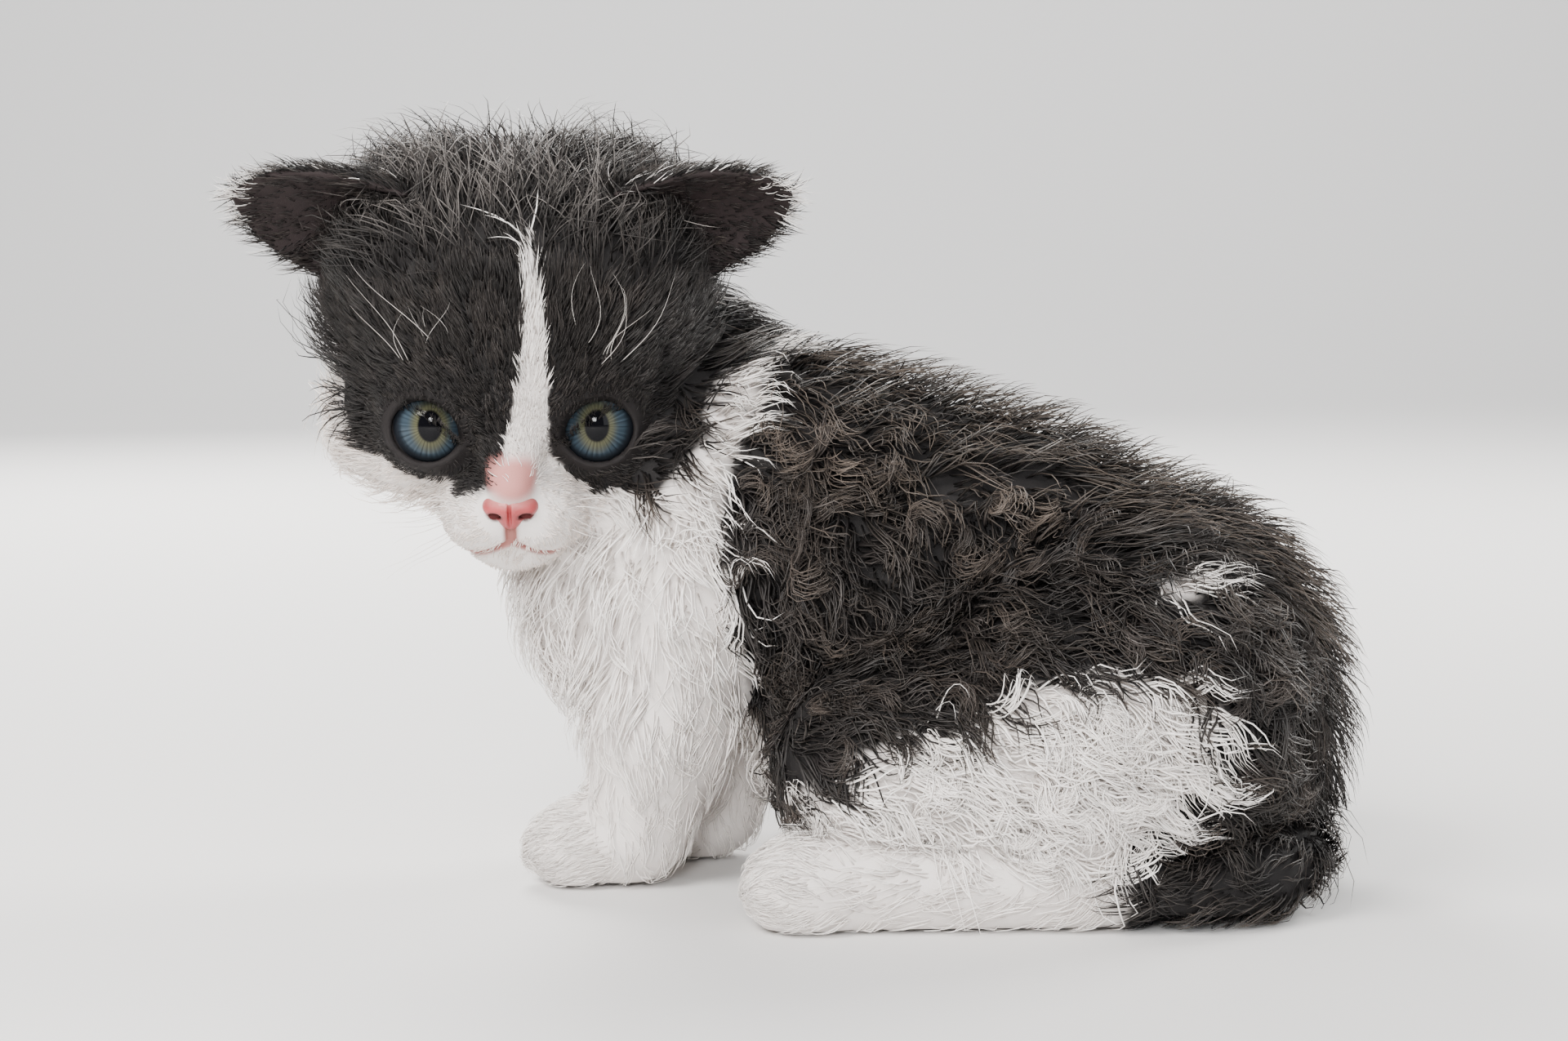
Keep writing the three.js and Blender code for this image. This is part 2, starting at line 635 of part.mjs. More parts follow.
function pieces() {
  const share = CORE_SHARE;
  const coated = (core, tufts, grow) => joined([core, ...tufts.map((one) => tuft(one, grow))]);
  const coats = {
    head: headTufts(),
    neck: neckTufts(),
    torso: torsoTufts(),
    tail: tailTufts(),
    [LEFT]: thighTufts(LEFT),
    [RIGHT]: thighTufts(RIGHT),
  };
  const eyeRooms = [LEFT, RIGHT].map((side) => eyeball(side, GAP).add(lidOpening(side)));
  const cutHead = joined([...eyeRooms, mouthLine()]);
  const head = coated(wrap(headForm, WRAPS.head, share, 0).add(nosePad()), coats.head, 0);
  const plainHead = wrap(headForm, { ...WRAPS.head, detail: ROOM.headDetail }, share, ROOM.gap);
  const headRoom = coated(plainHead, coats.head, GAP);
  const ear = (side, grow) => coated(earShell(side, grow).add(earRoot(side, grow)), earFringe(side), grow);
  const earRooms = [LEFT, RIGHT].map((side) => ear(side, GAP));
  const torsoRoom = wrap(torsoForm, WRAPS.torso, share, GAP);
  const legRooms = [LEFT, RIGHT].flatMap((side) => [
    foreleg(side, share, GAP),
    coated(hindLeg(side, share, ROOM.gap, ROOM.legDetail), coats[side], GAP),
  ]);
  const tailRoom = coated(tail(share, GAP), coats.tail, GAP);
  const neckCore = wrap(neckForm, WRAPS.neck, share, 0);
  const made = {
    head: without(head, cutHead, nostril(LEFT), nostril(RIGHT)),
    neck: without(coated(neckCore, coats.neck, 0), headRoom, torsoRoom, ...earRooms, ...legRooms),
    tail: without(coated(tail(share, 0), coats.tail, 0), ...legRooms),
  };
  const torso = coated(wrap(torsoForm, WRAPS.torso, share, 0), coats.torso, 0);
  const neckTuftRoom = joined(coats.neck.map((one) => tuft(one, GAP))).subtract(torsoRoom);
  made.torso = without(torso, headRoom, neckTuftRoom, ...earRooms, ...legRooms, tailRoom);
  made.neck = without(made.neck, joined(coats.torso.map((one) => tuft(one, GAP))));
  for (const [side, word] of [[LEFT, "left"], [RIGHT, "right"]]) {
    made["eye_" + word] = eyeball(side, 0);
    made["ear_" + word] = without(ear(side, 0), headRoom);
    made["hind_leg_" + word] = coated(hindLeg(side, share, 0), coats[side], 0);
    made["foreleg_" + word] = without(foreleg(side, share, 0), headRoom);
  }
  made.foreleg_right = without(made.foreleg_right, foreleg(LEFT, share, GAP));
  return made;
}

const COLOURS = {
  head: 0x2a2626,
  neck: 0xe8e2dc,
  torso: 0x2b2827,
  tail: 0x1d1b1b,
  ear: 0x1c1a1a,
  eye: 0x5d7480,
  foreleg: 0xece6e0,
  hind: 0xe9e4df,
};

const kitten = new THREE.Group();
for (const [name, solid] of Object.entries(pieces())) {
  const colour = COLOURS[name.split("_")[0]];
  const roughness = name.startsWith("eye") ? 0.08 : 0.85;
  const material = new THREE.MeshStandardMaterial({ color: colour, roughness, metalness: 0 });
  const mesh = new THREE.Mesh(geometryOf(aboveFloor(solid)), material);
  mesh.name = name;
  kitten.add(mesh);
}

// The origin is on the floor, under the middle of the kitten's box.
const middle = new THREE.Box3().setFromObject(kitten).getCenter(at(0, 0, 0));
kitten.position.set(-middle.x, -middle.y, 0);

export default kitten;
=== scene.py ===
import math
from collections import namedtuple

import bmesh
import bpy
import numpy as np
import openvdb
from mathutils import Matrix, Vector, kdtree


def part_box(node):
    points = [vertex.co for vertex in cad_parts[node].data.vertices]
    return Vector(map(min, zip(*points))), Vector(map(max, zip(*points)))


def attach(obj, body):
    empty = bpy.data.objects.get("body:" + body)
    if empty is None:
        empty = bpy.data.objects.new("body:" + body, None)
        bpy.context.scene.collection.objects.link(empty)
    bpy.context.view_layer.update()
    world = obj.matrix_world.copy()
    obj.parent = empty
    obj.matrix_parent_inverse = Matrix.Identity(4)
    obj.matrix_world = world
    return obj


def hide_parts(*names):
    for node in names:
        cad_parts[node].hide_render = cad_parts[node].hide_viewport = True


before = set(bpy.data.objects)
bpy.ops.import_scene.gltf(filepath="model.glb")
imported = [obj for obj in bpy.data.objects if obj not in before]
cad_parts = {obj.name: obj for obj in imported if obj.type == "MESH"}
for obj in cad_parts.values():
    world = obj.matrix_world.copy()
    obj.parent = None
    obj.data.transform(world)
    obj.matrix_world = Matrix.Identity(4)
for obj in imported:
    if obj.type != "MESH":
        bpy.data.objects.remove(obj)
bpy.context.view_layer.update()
SEED = 5
rng = np.random.default_rng(SEED)

# Named sizes, the same as in the part's source.
HEAD_CENTRE = np.array([-44.6, -15.0, 86.7])
HEAD_YAW = math.radians(13)
HEAD_TILT = math.radians(25)
EYE_RADIUS = 7.4
EYE_AT = np.array([12.8, 13.1, -5.2])
LID_THICKNESS = 1.1
EYE_OPENING = (5.5, 4.85)
EAR_ROOT = np.array([-5.0, 24.0, 22.5])
EAR_TIP = np.array([-6.0, 44.0, 29.0])
EAR_WIDTH = 22.5
EAR_THICK = 3.0
EAR_CUP_DEPTH = 6.5
COAT = {"back": 11, "chest": 7, "neck": 7, "crown": 8, "cheek": 4, "thigh": 8, "tail": 6, "leg": 2}
FORELEG = {-1: (0.0, -12.5), 1: (7.0, 11.5)}
HEEL = (56, 28, 8)
TOES = (11, 40, 6.5)
KNEE = (17, 31, 24)
HIP = (55, 21, 33)
TAIL_ROUTE = np.array([
    (62, 14, 12), (76, 8, 8.5), (81, -7, 7.5), (78.5, -20, 7), (71, -28, 6.5), (64.5, -32.5, 6),
])
TAIL_RADIUS = 5.2
LEFT, RIGHT = -1, 1
SIDE_WORDS = ((LEFT, "left"), (RIGHT, "right"))

# The photo's camera. Angles are in degrees, and the focal length and the picture's width in pixels.
CAMERA_AT = np.array([109.4, -529.5, 110.0])
CAMERA = {"azimuth": 12.0, "pitch": 5.342, "focal": 4000.0, "wide": 1920.0, "sensor": 36.0}

# How much of the coat's depth the skin holds, the size of its mesh, and how far above the floor it ends.
SKIN_SHARE = 0.3
SKIN_CELL = 0.75
LOWEST_SKIN = 0.35
FAR = 1e3

# The head's axes: forward to the nose, to the kitten's left, and up to the crown.
LEVEL = math.cos(HEAD_TILT)
FORWARD = (math.sin(HEAD_YAW) * LEVEL, -math.cos(HEAD_YAW) * LEVEL, -math.sin(HEAD_TILT))
LEFTWARD = (math.cos(HEAD_YAW), math.sin(HEAD_YAW), 0.0)
HEAD_AXES = np.array([FORWARD, LEFTWARD, np.cross(FORWARD, LEFTWARD)])


def into_head(p):
    return (p - HEAD_CENTRE) @ HEAD_AXES.T


def head_point(local):
    return np.asarray(local, float) @ HEAD_AXES + HEAD_CENTRE


def head_side(point, side):
    return head_point(np.array(point) * (1, -side, 1))


def unit(v):
    return v / np.maximum(np.linalg.norm(v, axis=-1, keepdims=True), 1e-9)


def ramp(low, high, x):
    """0 below low and 1 above high, with a smooth rise, or the other way round."""
    t = np.clip((x - low) / (high - low), 0, 1)
    return t * t * (3 - 2 * t)


def mix(a, b, t):
    return a + (b - a) * t


def both_sides(q):
    """Points in the head's axes, folded on to its left half."""
    return q * (1, 0, 1) + np.abs(q) * (0, 1, 0)


def follow(route, x):
    """The height at x of a line through a route's points."""
    return np.interp(x, *np.transpose(route))


# Distance fields, as in the part's source, for many points at once. Share is how much of the coat's
# depth they hold.
def ball(centre, radii, coat=0.0, pitch=0.0):
    centre, radii = np.array(centre, float), np.array(radii, float)
    c, s = math.cos(pitch), math.sin(pitch)

    def field(p, share):
        d = p - centre
        if pitch:
            d = np.stack([c * d[:, 0] - s * d[:, 2], d[:, 1], s * d[:, 0] + c * d[:, 2]], 1)
        grown = radii + share * coat
        q = d / grown
        near = np.sqrt((q * q).sum(1))
        q /= grown
        steep = np.sqrt((q * q).sum(1))
        return near * (near - 1) / np.maximum(steep, 1e-6)

    return field


def limb(start, end, start_radius, end_radius, coat=0.0):
    start, run = np.array(start, float), np.subtract(end, start).astype(float)

    def field(p, share):
        d = p - start
        along = np.clip(d @ run / (run @ run), 0, 1)
        gap = np.linalg.norm(d - along[:, None] * run, axis=1)
        return gap - mix(start_radius, end_radius, along) - share * coat

    return field


def soft_min(a, b, softness):
    h = np.clip(0.5 + 0.5 * (b - a) / softness, 0, 1)
    return mix(b, a, h) - softness * h * (1 - h)


def soft_max(a, b, softness):
    return -soft_min(-a, -b, softness)


def melt(softness, *fields):
    def field(p, share):
        value = fields[0](p, share)
        for other in fields[1:]:
            value = soft_min(value, other(p, share), softness)
        return value

    return field


def pair(centre, radii, coat=0.0):
    """A ball and its mirror image."""
    return [ball(np.array(centre) * (1, side, 1), radii, coat) for side in (1, -1)]


def in_head(field):
    return lambda p, share: field(into_head(p), share)


HEAD_FORM = in_head(melt(
    3,
    melt(
        6,
        ball((-5, 0, 5), (26, 26, 22.5), COAT["crown"]),
        *pair((-8, 13, 12), (18, 15, 15), COAT["crown"]),
        ball((6.5, 0, 5), (13, 19, 12), 2),
        *pair((-0.5, 17, -11), (13.5, 12.5, 11.5), COAT["cheek"]),
        ball((10, 0, -18), (13, 12.5, 9), 2),
    ),
    limb((14, 0, 1), (27, 0, -9), 7, 3.4),
    ball((21, 0, -14.5), (8, 9, 6.3)),
    *pair((21.6, 6, -17.4), (5.6, 5.2, 5)),
    *pair((24.6, 4.1, -16.4), (5, 5, 4.4)),
    ball((20.8, 0, -22.8), (5.6, 7, 4)),
    *pair(EYE_AT, [EYE_RADIUS + LID_THICKNESS] * 3),
))

NECK_FORM = melt(
    8,
    limb((-47, 1, 82), (-30, 6, 74), 19, 21, COAT["neck"]),
    limb((-30, 6, 74), (-10, 1, 60), 21, 23, COAT["neck"]),
)

TORSO_FORM = melt(
    10,
    ball((-22, 0, 50), (23, 20, 24), COAT["chest"]),
    ball((2, 0, 58), (26, 22, 23), COAT["back"]),
    ball((27, 0, 47.5), (30, 25, 25.5), COAT["back"]),
    ball((56, 0, 35), (26, 26, 26), COAT["back"]),
    ball((61, 0, 19), (19, 22, 19), COAT["back"] - 2),
    ball((18, 0, 30), (26, 17, 17), COAT["chest"]),
)


def foreleg_form(side):
    shift, y = FORELEG[side]
    return melt(
        5,
        limb((-16 + shift, y * 1.15, 46), (-20.5 + shift, y * 1.05, 27), 12.5, 10.5, COAT["leg"]),
        limb((-20.5 + shift, y * 1.05, 27), (-25.5 + shift, y, 9), 10.5, 8.5, COAT["leg"] / 2),
    )


def paw_form(side):
    shift, y = FORELEG[side]
    return melt(
        2.5,
        ball((-31 + shift, y, 6.8), (11.4, 9.2, 7.6)),
        ball((-38 + shift, y - 3, 5.2), (5.6, 3.2, 5.4)),
        ball((-38 + shift, y + 3, 5.2), (5.6, 3.2, 5.4)),
        ball((-35 + shift, y - 7, 4.8), (5.2, 3, 4.9)),
        ball((-35 + shift, y + 7, 4.8), (5.2, 3, 4.9)),
    )


def mirrored(point, side):
    return (point[0], side * point[1], point[2])


def thigh_form(side):
    return melt(
        8,
        ball(mirrored(HIP, side), (25, 15, 23), COAT["thigh"], math.radians(-18)),
        limb(mirrored((44, 25, 30), side), mirrored(KNEE, side), 18, 11, COAT["thigh"] * 0.7),
        limb(mirrored(KNEE, side), mirrored((50, 29, 14), side), 11, 9, COAT["leg"]),
    )


def foot_form(side):
    toes = [
        ball(mirrored((5.2 + 1.1 * abs(k - 1.4), 35.6 + 3.3 * k, 5.0), side), (5.4, 2.7, 5.2))
        for k in range(4)
    ]
    return melt(
        2.2,
        melt(4, limb(mirrored(HEEL, side), mirrored(TOES, side), 9, 7.6, COAT["leg"] / 2),
             ball(mirrored((8.5, 40.5, 6.4), side), (9.0, 9.4, 7.2))),
        *toes,
    )


def along_tail(t):
    """The place at t, 0 to 1, on the smooth curve through the tail's route."""
    spans = len(TAIL_ROUTE) - 1
    x = np.clip(np.asarray(t, float), 0, 1) * spans
    i = np.minimum(x.astype(int), spans - 1)
    w = (x - i)[..., None]
    before, after = 2 * TAIL_ROUTE[0] - TAIL_ROUTE[1], 2 * TAIL_ROUTE[-1] - TAIL_ROUTE[-2]
    padded = np.vstack([before, TAIL_ROUTE, after])
    a, b, c, d = padded[i], padded[i + 1], padded[i + 2], padded[i + 3]
    return 0.5 * (2 * b + (c - a) * w + (2 * a - 5 * b + 4 * c - d) * w**2 + (3 * b - a - 3 * c + d) * w**3)


TAIL_STEPS = 14
TAIL_POINTS = along_tail(np.linspace(0, 1, TAIL_STEPS))


def tail_form(p, share):
    value = np.full(len(p), FAR)
    radii = (TAIL_RADIUS + share * COAT["tail"]) * (1 - 0.55 * np.linspace(0, 1, TAIL_STEPS) ** 2) ** 0.9
    for k in range(TAIL_STEPS - 1):
        part = limb(TAIL_POINTS[k], TAIL_POINTS[k + 1], radii[k], radii[k + 1])
        value = np.minimum(value, part(p, share))
    return value


# An ear is a bent, tapering sheet, hollow to the front.
def ear_axes(side):
    root, tip = head_side(EAR_ROOT, side), head_side(EAR_TIP, side)
    axis = tip - root
    back = np.array([-0.95, 0, 0.3]) @ HEAD_AXES
    across = unit(np.cross(unit(axis), back))
    depth = unit(np.cross(across, axis))
    return root, axis, across, depth * np.sign(depth @ back)


def ear_places(p, side):
    """Along, across and depth of points in an ear's own shape."""
    root, axis, across, depth = ear_axes(side)
    d = p - root
    t = d @ axis / (axis @ axis)
    s = d @ across
    half = EAR_WIDTH / 2 * np.maximum(1 - 0.97 * np.clip(t, 0, 1) ** 2.4, 0.01) ** 0.7
    mid = EAR_CUP_DEPTH * (1 - np.clip(t, -0.3, 1)) * (1 - np.clip(s / half, -1, 1) ** 2) - EAR_CUP_DEPTH / 2
    return t, s, half, d @ depth - mid, np.linalg.norm(axis)


def ear_form(side):
    def field(p, share):
        t, s, half, layer, length = ear_places(p, side)
        thick = EAR_THICK * (1 - 0.45 * np.clip(t, 0, 1)) * 0.5 + 0.1
        rim = np.maximum(np.abs(s) - half, np.maximum((t - 1.02) * length, (-0.25 - t) * length))
        return soft_max(rim, np.abs(layer) - thick, 1.2)

    return field


# Each form of the body with its box and how softly it runs into those before it.
class Form:
    def __init__(self, name, field, low, high, blend, reach=24.0):
        self.name, self.field, self.blend = name, field, blend
        self.low, self.high = np.array(low, float) - reach, np.array(high, float) + reach


def forms():
    made = [
        Form("torso", TORSO_FORM, (-46, -27, 0), (83, 27, 84), 6),
        Form("neck", NECK_FORM, (-68, -24, 36), (14, 30, 100), 8),
        Form("head", HEAD_FORM, (-82, -46, 54), (-8, 22, 122), 4),
    ]
    for side, word in SIDE_WORDS:
        shift, y = FORELEG[side]
        low_y, high_y = sorted((side * 14.0, side * 44.0))
        foot_y = high_y + (side > 0) * 6
        made += [
            Form("thigh_" + word, thigh_form(side), (4, low_y, 2), (82, high_y, 60), 5),
            Form("foot_" + word, foot_form(side), (-3, low_y, 0), (66, foot_y, 20), 2),
            Form("foreleg_" + word, foreleg_form(side), (-36 + shift, y - 14, 0), (shift, y + 14, 60), 4),
            Form("paw_" + word, paw_form(side), (-45 + shift, y - 11, 0), (-18 + shift, y + 11, 16), 2.5),
        ]
    made.append(Form("tail", tail_form, (54, -38, 0), (88, 20, 20), 2))
    for side, word in SIDE_WORDS:
        root, axis, across, _ = ear_axes(side)
        corners = np.array([root, root + axis, root + across * 14, root - across * 14])
        made.append(Form("ear_" + word, ear_form(side), corners.min(0) - 4, corners.max(0) + 4, 2.5, 8))
    return made


FORMS = forms()
FORM_INDEX = {form.name: i for i, form in enumerate(FORMS)}


def body_field(p, share, nearest=False):
    value = np.full(len(p), FAR)
    best, owner = np.full(len(p), FAR), np.zeros(len(p), int)
    for k, form in enumerate(FORMS):
        inside = np.all((p > form.low) & (p < form.high), axis=1)
        if not inside.any():
            continue
        here = form.field(p[inside], share)
        value[inside] = soft_min(value[inside], here, form.blend)
        closer = here < best[inside]
        spots = np.flatnonzero(inside)[closer]
        best[spots], owner[spots] = here[closer], k
    return (value, owner) if nearest else value


def bare_body(p):
    """The skin's field without the face's cuts."""
    return body_field(p, SKIN_SHARE)


def owner_of(p):
    """The index of the form that each place belongs to."""
    return body_field(p, SKIN_SHARE, nearest=True)[1]


def owned_by(owner, *names):
    return np.isin(owner, [FORM_INDEX[name] for name in names])


# The face's own cuts, which are the eye openings and the mouth's crease, in the head's axes.
EYE_LIFT = math.radians(14)
EYE_SPLAY = math.radians(9)
EYE_SLANT = 0.05
LID_FLARE = 0.45
MOUTH_CREASE = 0.75


def eye_gaze(side):
    return unit(np.array([math.cos(EYE_SPLAY), -side * math.sin(EYE_SPLAY), math.tan(EYE_LIFT)]))


def eye_axes(side):
    """Gaze, outward and upward axes of an eye, in the head's axes."""
    gaze = eye_gaze(side)
    outward = unit(np.cross(gaze, np.cross(np.array([0, -side, 0.0]), gaze)))
    lift = np.cross(gaze, outward) * side
    return gaze, outward, lift * np.sign(lift[2])


def lid_place(q, side):
    """How far points lie outside an eye's opening, and how far ahead of the eyeball's middle."""
    gaze, outward, lift = eye_axes(side)
    d = q - EYE_AT * (1, -side, 1)
    a, b, ahead = d @ outward, d @ lift, d @ gaze
    b = b - EYE_SLANT * a
    half_high = EYE_OPENING[1] * np.where(b > 0, 1.04, 1.0)
    ring = (np.abs(a / EYE_OPENING[0]) ** 1.8 + np.abs(b / half_high) ** 2) ** 0.5
    return (ring - 1) * EYE_OPENING[1], ahead


NOSTRIL = np.array([29.4, 2.35, -12.6])
MOUTH_ROUTE = np.array([(29.5, 0, -13.6), (29.3, 0, -15.6), (28.8, 0, -18.2)])
LIP_ROUTE = np.array([(28.8, 0, -18.2), (27.4, 4.0, -20.2), (24.6, 8.4, -22.8), (19.5, 11.6, -24.8)])
NOSTRIL_RADII = (2.4, 1.5, 1.1)


def near_route(q, route):
    best = np.full(len(q), FAR)
    for a, b in zip(route[:-1], route[1:]):
        run = b - a
        along = np.clip((q - a) @ run / (run @ run), 0, 1)
        best = np.minimum(best, np.linalg.norm(q - a - along[:, None] * run, axis=1))
    return best


def mouth_gap(q):
    """How far points in the head's axes lie from the lines of the mouth."""
    return np.minimum(near_route(q, MOUTH_ROUTE), near_route(both_sides(q), LIP_ROUTE))


def carve_face(p, value):
    q = into_head(p)
    fore, left, up = q.T
    face = np.flatnonzero((fore > 2) & (np.abs(left) < 30) & (up < 14) & (up > -34))
    if not len(face):
        return value
    q, v = q[face], value[face]
    for side in (LEFT, RIGHT):
        ring, ahead = lid_place(q, side)
        opening = np.maximum(ring - LID_FLARE * np.clip(ahead - 5.5, 0, 5), 2.0 - ahead)
        v = soft_max(v, -opening, 0.6)
        v = np.maximum(v, EYE_RADIUS + 0.05 - np.linalg.norm(q - EYE_AT * (1, -side, 1), axis=1))
    v = soft_max(v, MOUTH_CREASE - mouth_gap(q), 0.5)
    value = value.copy()
    value[face] = v
    return value


def slope(field, p, reach=0.35):
    lean = [field(p + step) - field(p - step) for step in np.eye(3) * reach]
    return unit(np.stack(lean, 1))


def settle(field, p, rounds=3, most=1.2):
    """Points drawn on to the surface of a field."""
    for _ in range(rounds):
        normal = slope(field, p)
        p = p - normal * np.clip(field(p), -most, most)[:, None]
    return p


# Millimetres in the design frame to metres in the row frame: the same eye in both gives the shift.
eye_low, eye_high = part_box("eye_left")
SHIFT = np.array((eye_low + eye_high) / 2) * 1000 - head_side(EYE_AT, LEFT)
FLOOR_SHIFT = np.array([1.0, 1.0, 0.0])


def to_row(p):
    return ((p + SHIFT * FLOOR_SHIFT) * 0.001).astype(np.float32)


def link_object(name, data):
    made = bpy.data.objects.new(name, data)
    bpy.context.scene.collection.objects.link(made)
    return made


def tint_points(mesh, colours):
    """Gives each point its colour, as the Tint that the finishes read."""
    rgba = np.ones((len(colours), 4), np.float32)
    rgba[:, :3] = colours
    tint = mesh.attributes.new("Tint", "FLOAT_COLOR", "POINT")
    tint.data.foreach_set("color", rgba.ravel())


def mesh_object(name, places, faces, colours):
    mesh = bpy.data.meshes.new(name)
    mesh.from_pydata(to_row(places), [], faces)
    mesh.shade_smooth()
    tint_points(mesh, colours)
    return link_object(name, mesh)


# Markings, with some painted light and shade among them, in linear colour.
BLACK_ROOT = np.array([0.008, 0.007, 0.007])
BLACK_TIP = np.array([0.021, 0.017, 0.015])
GREY_TIP = np.array([0.33, 0.30, 0.28])
# Brown tips: rust, and painted rim light on the top of the back.
BROWN_TIP = np.array([0.140, 0.110, 0.088])
WHITE_ROOT = np.array([0.76, 0.70, 0.66])
WHITE_SKIN = np.array([0.74, 0.69, 0.66])
WHITE_TIP = np.array([0.93, 0.90, 0.87])
# Peach: a little cream on all white tips, and painted shade on the lower face.
PEACH = np.array([0.80, 0.56, 0.42])
PINK_SKIN = np.array([0.50, 0.21, 0.19])
NOSE_PINK = np.array([0.45, 0.055, 0.060])
# Painted shade: the dark red inside the nostrils.
NOSTRIL_SHADE = np.array([0.07, 0.010, 0.010])
LID_BLACK = np.array([0.010, 0.008, 0.008])
LIP_PINK = np.array([0.36, 0.13, 0.11])
# The ears' hollow fronts: dark skin, with painted shade of the hollow.
EAR_SKIN_AND_SHADE = np.array([0.018, 0.012, 0.012])
IRIS_OUTER = np.array([0.029, 0.043, 0.056])
IRIS_INNER = np.array([0.058, 0.058, 0.034])
IRIS_RIM = np.array([0.012, 0.014, 0.018])
EYE_WHITE = np.array([0.07, 0.06, 0.06])
EYE_BACK = (0.35, 0.30, 0.28)
PUPIL_BLACK = np.array([0.002, 0.002, 0.003])

# The markings' edges. In the head's axes: the mask's lower edge as leftward and up, and the blaze's
# middle and half width at heights. Then, in the design frame: the white shoulder's and ruff's ends as
# height and x, the thigh's white top as x and height, and its white rear as height and x.
MASK_EDGE = [
    (-42, 22), (-35, 11), (-33.3, 3), (-28.5, -1.5), (-26, -10), (-18.9, -10.7), (-14.7, -12.6),
    (-9.3, -12.4), (-5.1, -10.8), (-1.9, -7.7), (-0.1, -5.5), (2.5, -5), (5.2, -5.5), (7, -8.6),
    (12, -15.1), (21.2, -16.3), (31, -14.9), (35, -11.2), (38, -5.6), (41, 8), (46, 18),
]
BLAZE_MIDDLE = [(-6, 2.3), (-2, 2.9), (8, 3.8), (17, 4.1), (24, 3.4), (28, 3.2)]
BLAZE_HALF = [(-6, 3.9), (-2, 3.1), (8, 2.1), (17, 1.3), (24, 0.8), (28, 0.0)]
SHOULDER = [(0, -1), (20, -3), (34, -6.5), (61, -9), (80, -4), (92, -2), (110, -6)]
FAR_SHOULDER = [(0, -1), (20, -3), (34, -6.5), (61, -9), (80, -14), (92, -26), (110, -42)]
RUFF = [(62, -45), (66, -18), (74, -12.3), (84, -10.2), (96, -7), (104, -4.8)]
THIGH_TOP = [(4, 19), (15, 25.7), (35, 35.3), (50, 39.5), (62.6, 41.4), (72.3, 35.6), (80, 26)]
REAR = [(0, 57), (12, 59), (30, 69), (40, 74)]
HIP_TUFT = ((64, -25, 52.5), (5.5, 7, 3.0))
BRIDGE = ((27.5, 0.6, -7.0), (6, 4.6, 3.6))
NOSE_PAD = ((28.6, 0.2, -12), (5.2, 5.0, 4.6))


def from_middle(p, spot):
    """How far points lie from the middle of a spot, where 1 is on its edge."""
    middle, radii = spot
    return np.linalg.norm((p - middle) / radii, axis=1)


def ripple(p, scale, phase=0.0):
    """Smooth waves over space, about -1 to 1, that make the markings' edges uneven."""
    a = np.sin(p @ np.array([1.0, 0.7, 0.3]) / scale + phase)
    b = np.sin(p @ np.array([-0.6, 0.9, 1.1]) / scale * 1.3 + 2 * phase + 1)
    c = np.sin(p @ np.array([0.4, -1.2, 0.8]) / scale * 1.9 + 3 * phase + 2)
    return (a + b + c) / 3


def white_share(p, owner):
    """1 where the coat is white and 0 where it is black."""
    q = into_head(p)
    x, y, z = p.T
    fore, left, up = q.T
    uneven = 0.8 * ripple(p, 2.2)
    below = ramp(0.9, -0.9, up - follow(MASK_EDGE, left + uneven) + uneven)
    aside = np.abs(left - follow(BLAZE_MIDDLE, up)) - follow(BLAZE_HALF, up)
    blaze = ramp(0.5, -0.4, aside + 0.4 * ripple(p, 1.3)) * (fore > 8)
    head = np.maximum(below, blaze)

    near, far = follow(SHOULDER, z), follow(FAR_SHOULDER, z)
    shoulder = mix(near, far, ramp(0, 14, y))
    body = ramp(1.6, -1.6, x - shoulder + 2.2 * ripple(p, 6))
    tuft = ramp(1.2, 0.7, from_middle(p, HIP_TUFT))
    body = np.maximum(body, tuft)
    ruff = ramp(-1.2, 1.2, x - follow(RUFF, z) + 1.6 * ripple(p, 4))
    ruff = np.where(owned_by(owner, "neck") & (y < 5) & (up > -14), ruff, 1.0)

    below_top = ramp(1.2, -1.2, z - (follow(THIGH_TOP, x) + 2.0 * ripple(p, 5)))
    before_rear = ramp(1.5, -1.5, x - (follow(REAR, z) + 2.0 * ripple(p, 4, 1.0)))
    leg = np.maximum(below_top * before_rear * ramp(15, 20, np.abs(y)), tuft)

    white = np.where(owned_by(owner, "head"), head, np.minimum(body, ruff))
    white = np.where(owned_by(owner, "thigh_left", "thigh_right", "foot_left", "foot_right"), leg, white)
    white = np.where(owned_by(owner, "foreleg_left", "foreleg_right", "paw_left", "paw_right"), 1.0, white)
    return np.where(owned_by(owner, "ear_left", "ear_right", "tail"), 0.0, white)


def bridge_share(q):
    """1 on the pink, thinly haired bridge of the nose, in the head's axes."""
    return ramp(1.3, 0.6, from_middle(q, BRIDGE))


def skin_colours(p, owner):
    white = white_share(p, owner)[:, None]
    colour = mix(BLACK_ROOT * 1.2, WHITE_SKIN, white)
    q = into_head(p)
    fore = q[:, 0]
    face = fore > 4
    for side in (LEFT, RIGHT):
        ring, ahead = lid_place(q, side)
        rim = ramp(3.2, 1.6, ring) * ramp(-2, 2, ahead) * face
        colour = mix(colour, LID_BLACK, rim[:, None])
    colour = mix(colour, PINK_SKIN, (bridge_share(q) * face)[:, None])
    lips = ramp(1.7, 0.6, mouth_gap(q)) * ramp(20.5, 23, fore)
    colour = mix(colour, LIP_PINK, lips[:, None])
    # The nostrils are painted dark red as painted shade of their hollows.
    nostril_shade = ramp(1.2, 0.9, from_middle(both_sides(q), (NOSTRIL, NOSTRIL_RADII))) * face
    colour = mix(colour, NOSTRIL_SHADE, nostril_shade[:, None])
    for side, word in SIDE_WORDS:
        _, _, _, layer, _ = ear_places(p, side)
        # The hollow front of each ear is near-black: dark skin with painted shade.
        inner = owned_by(owner, "ear_" + word) & (layer < 0)
        colour = np.where(inner[:, None], EAR_SKIN_AND_SHADE, colour)
    return colour


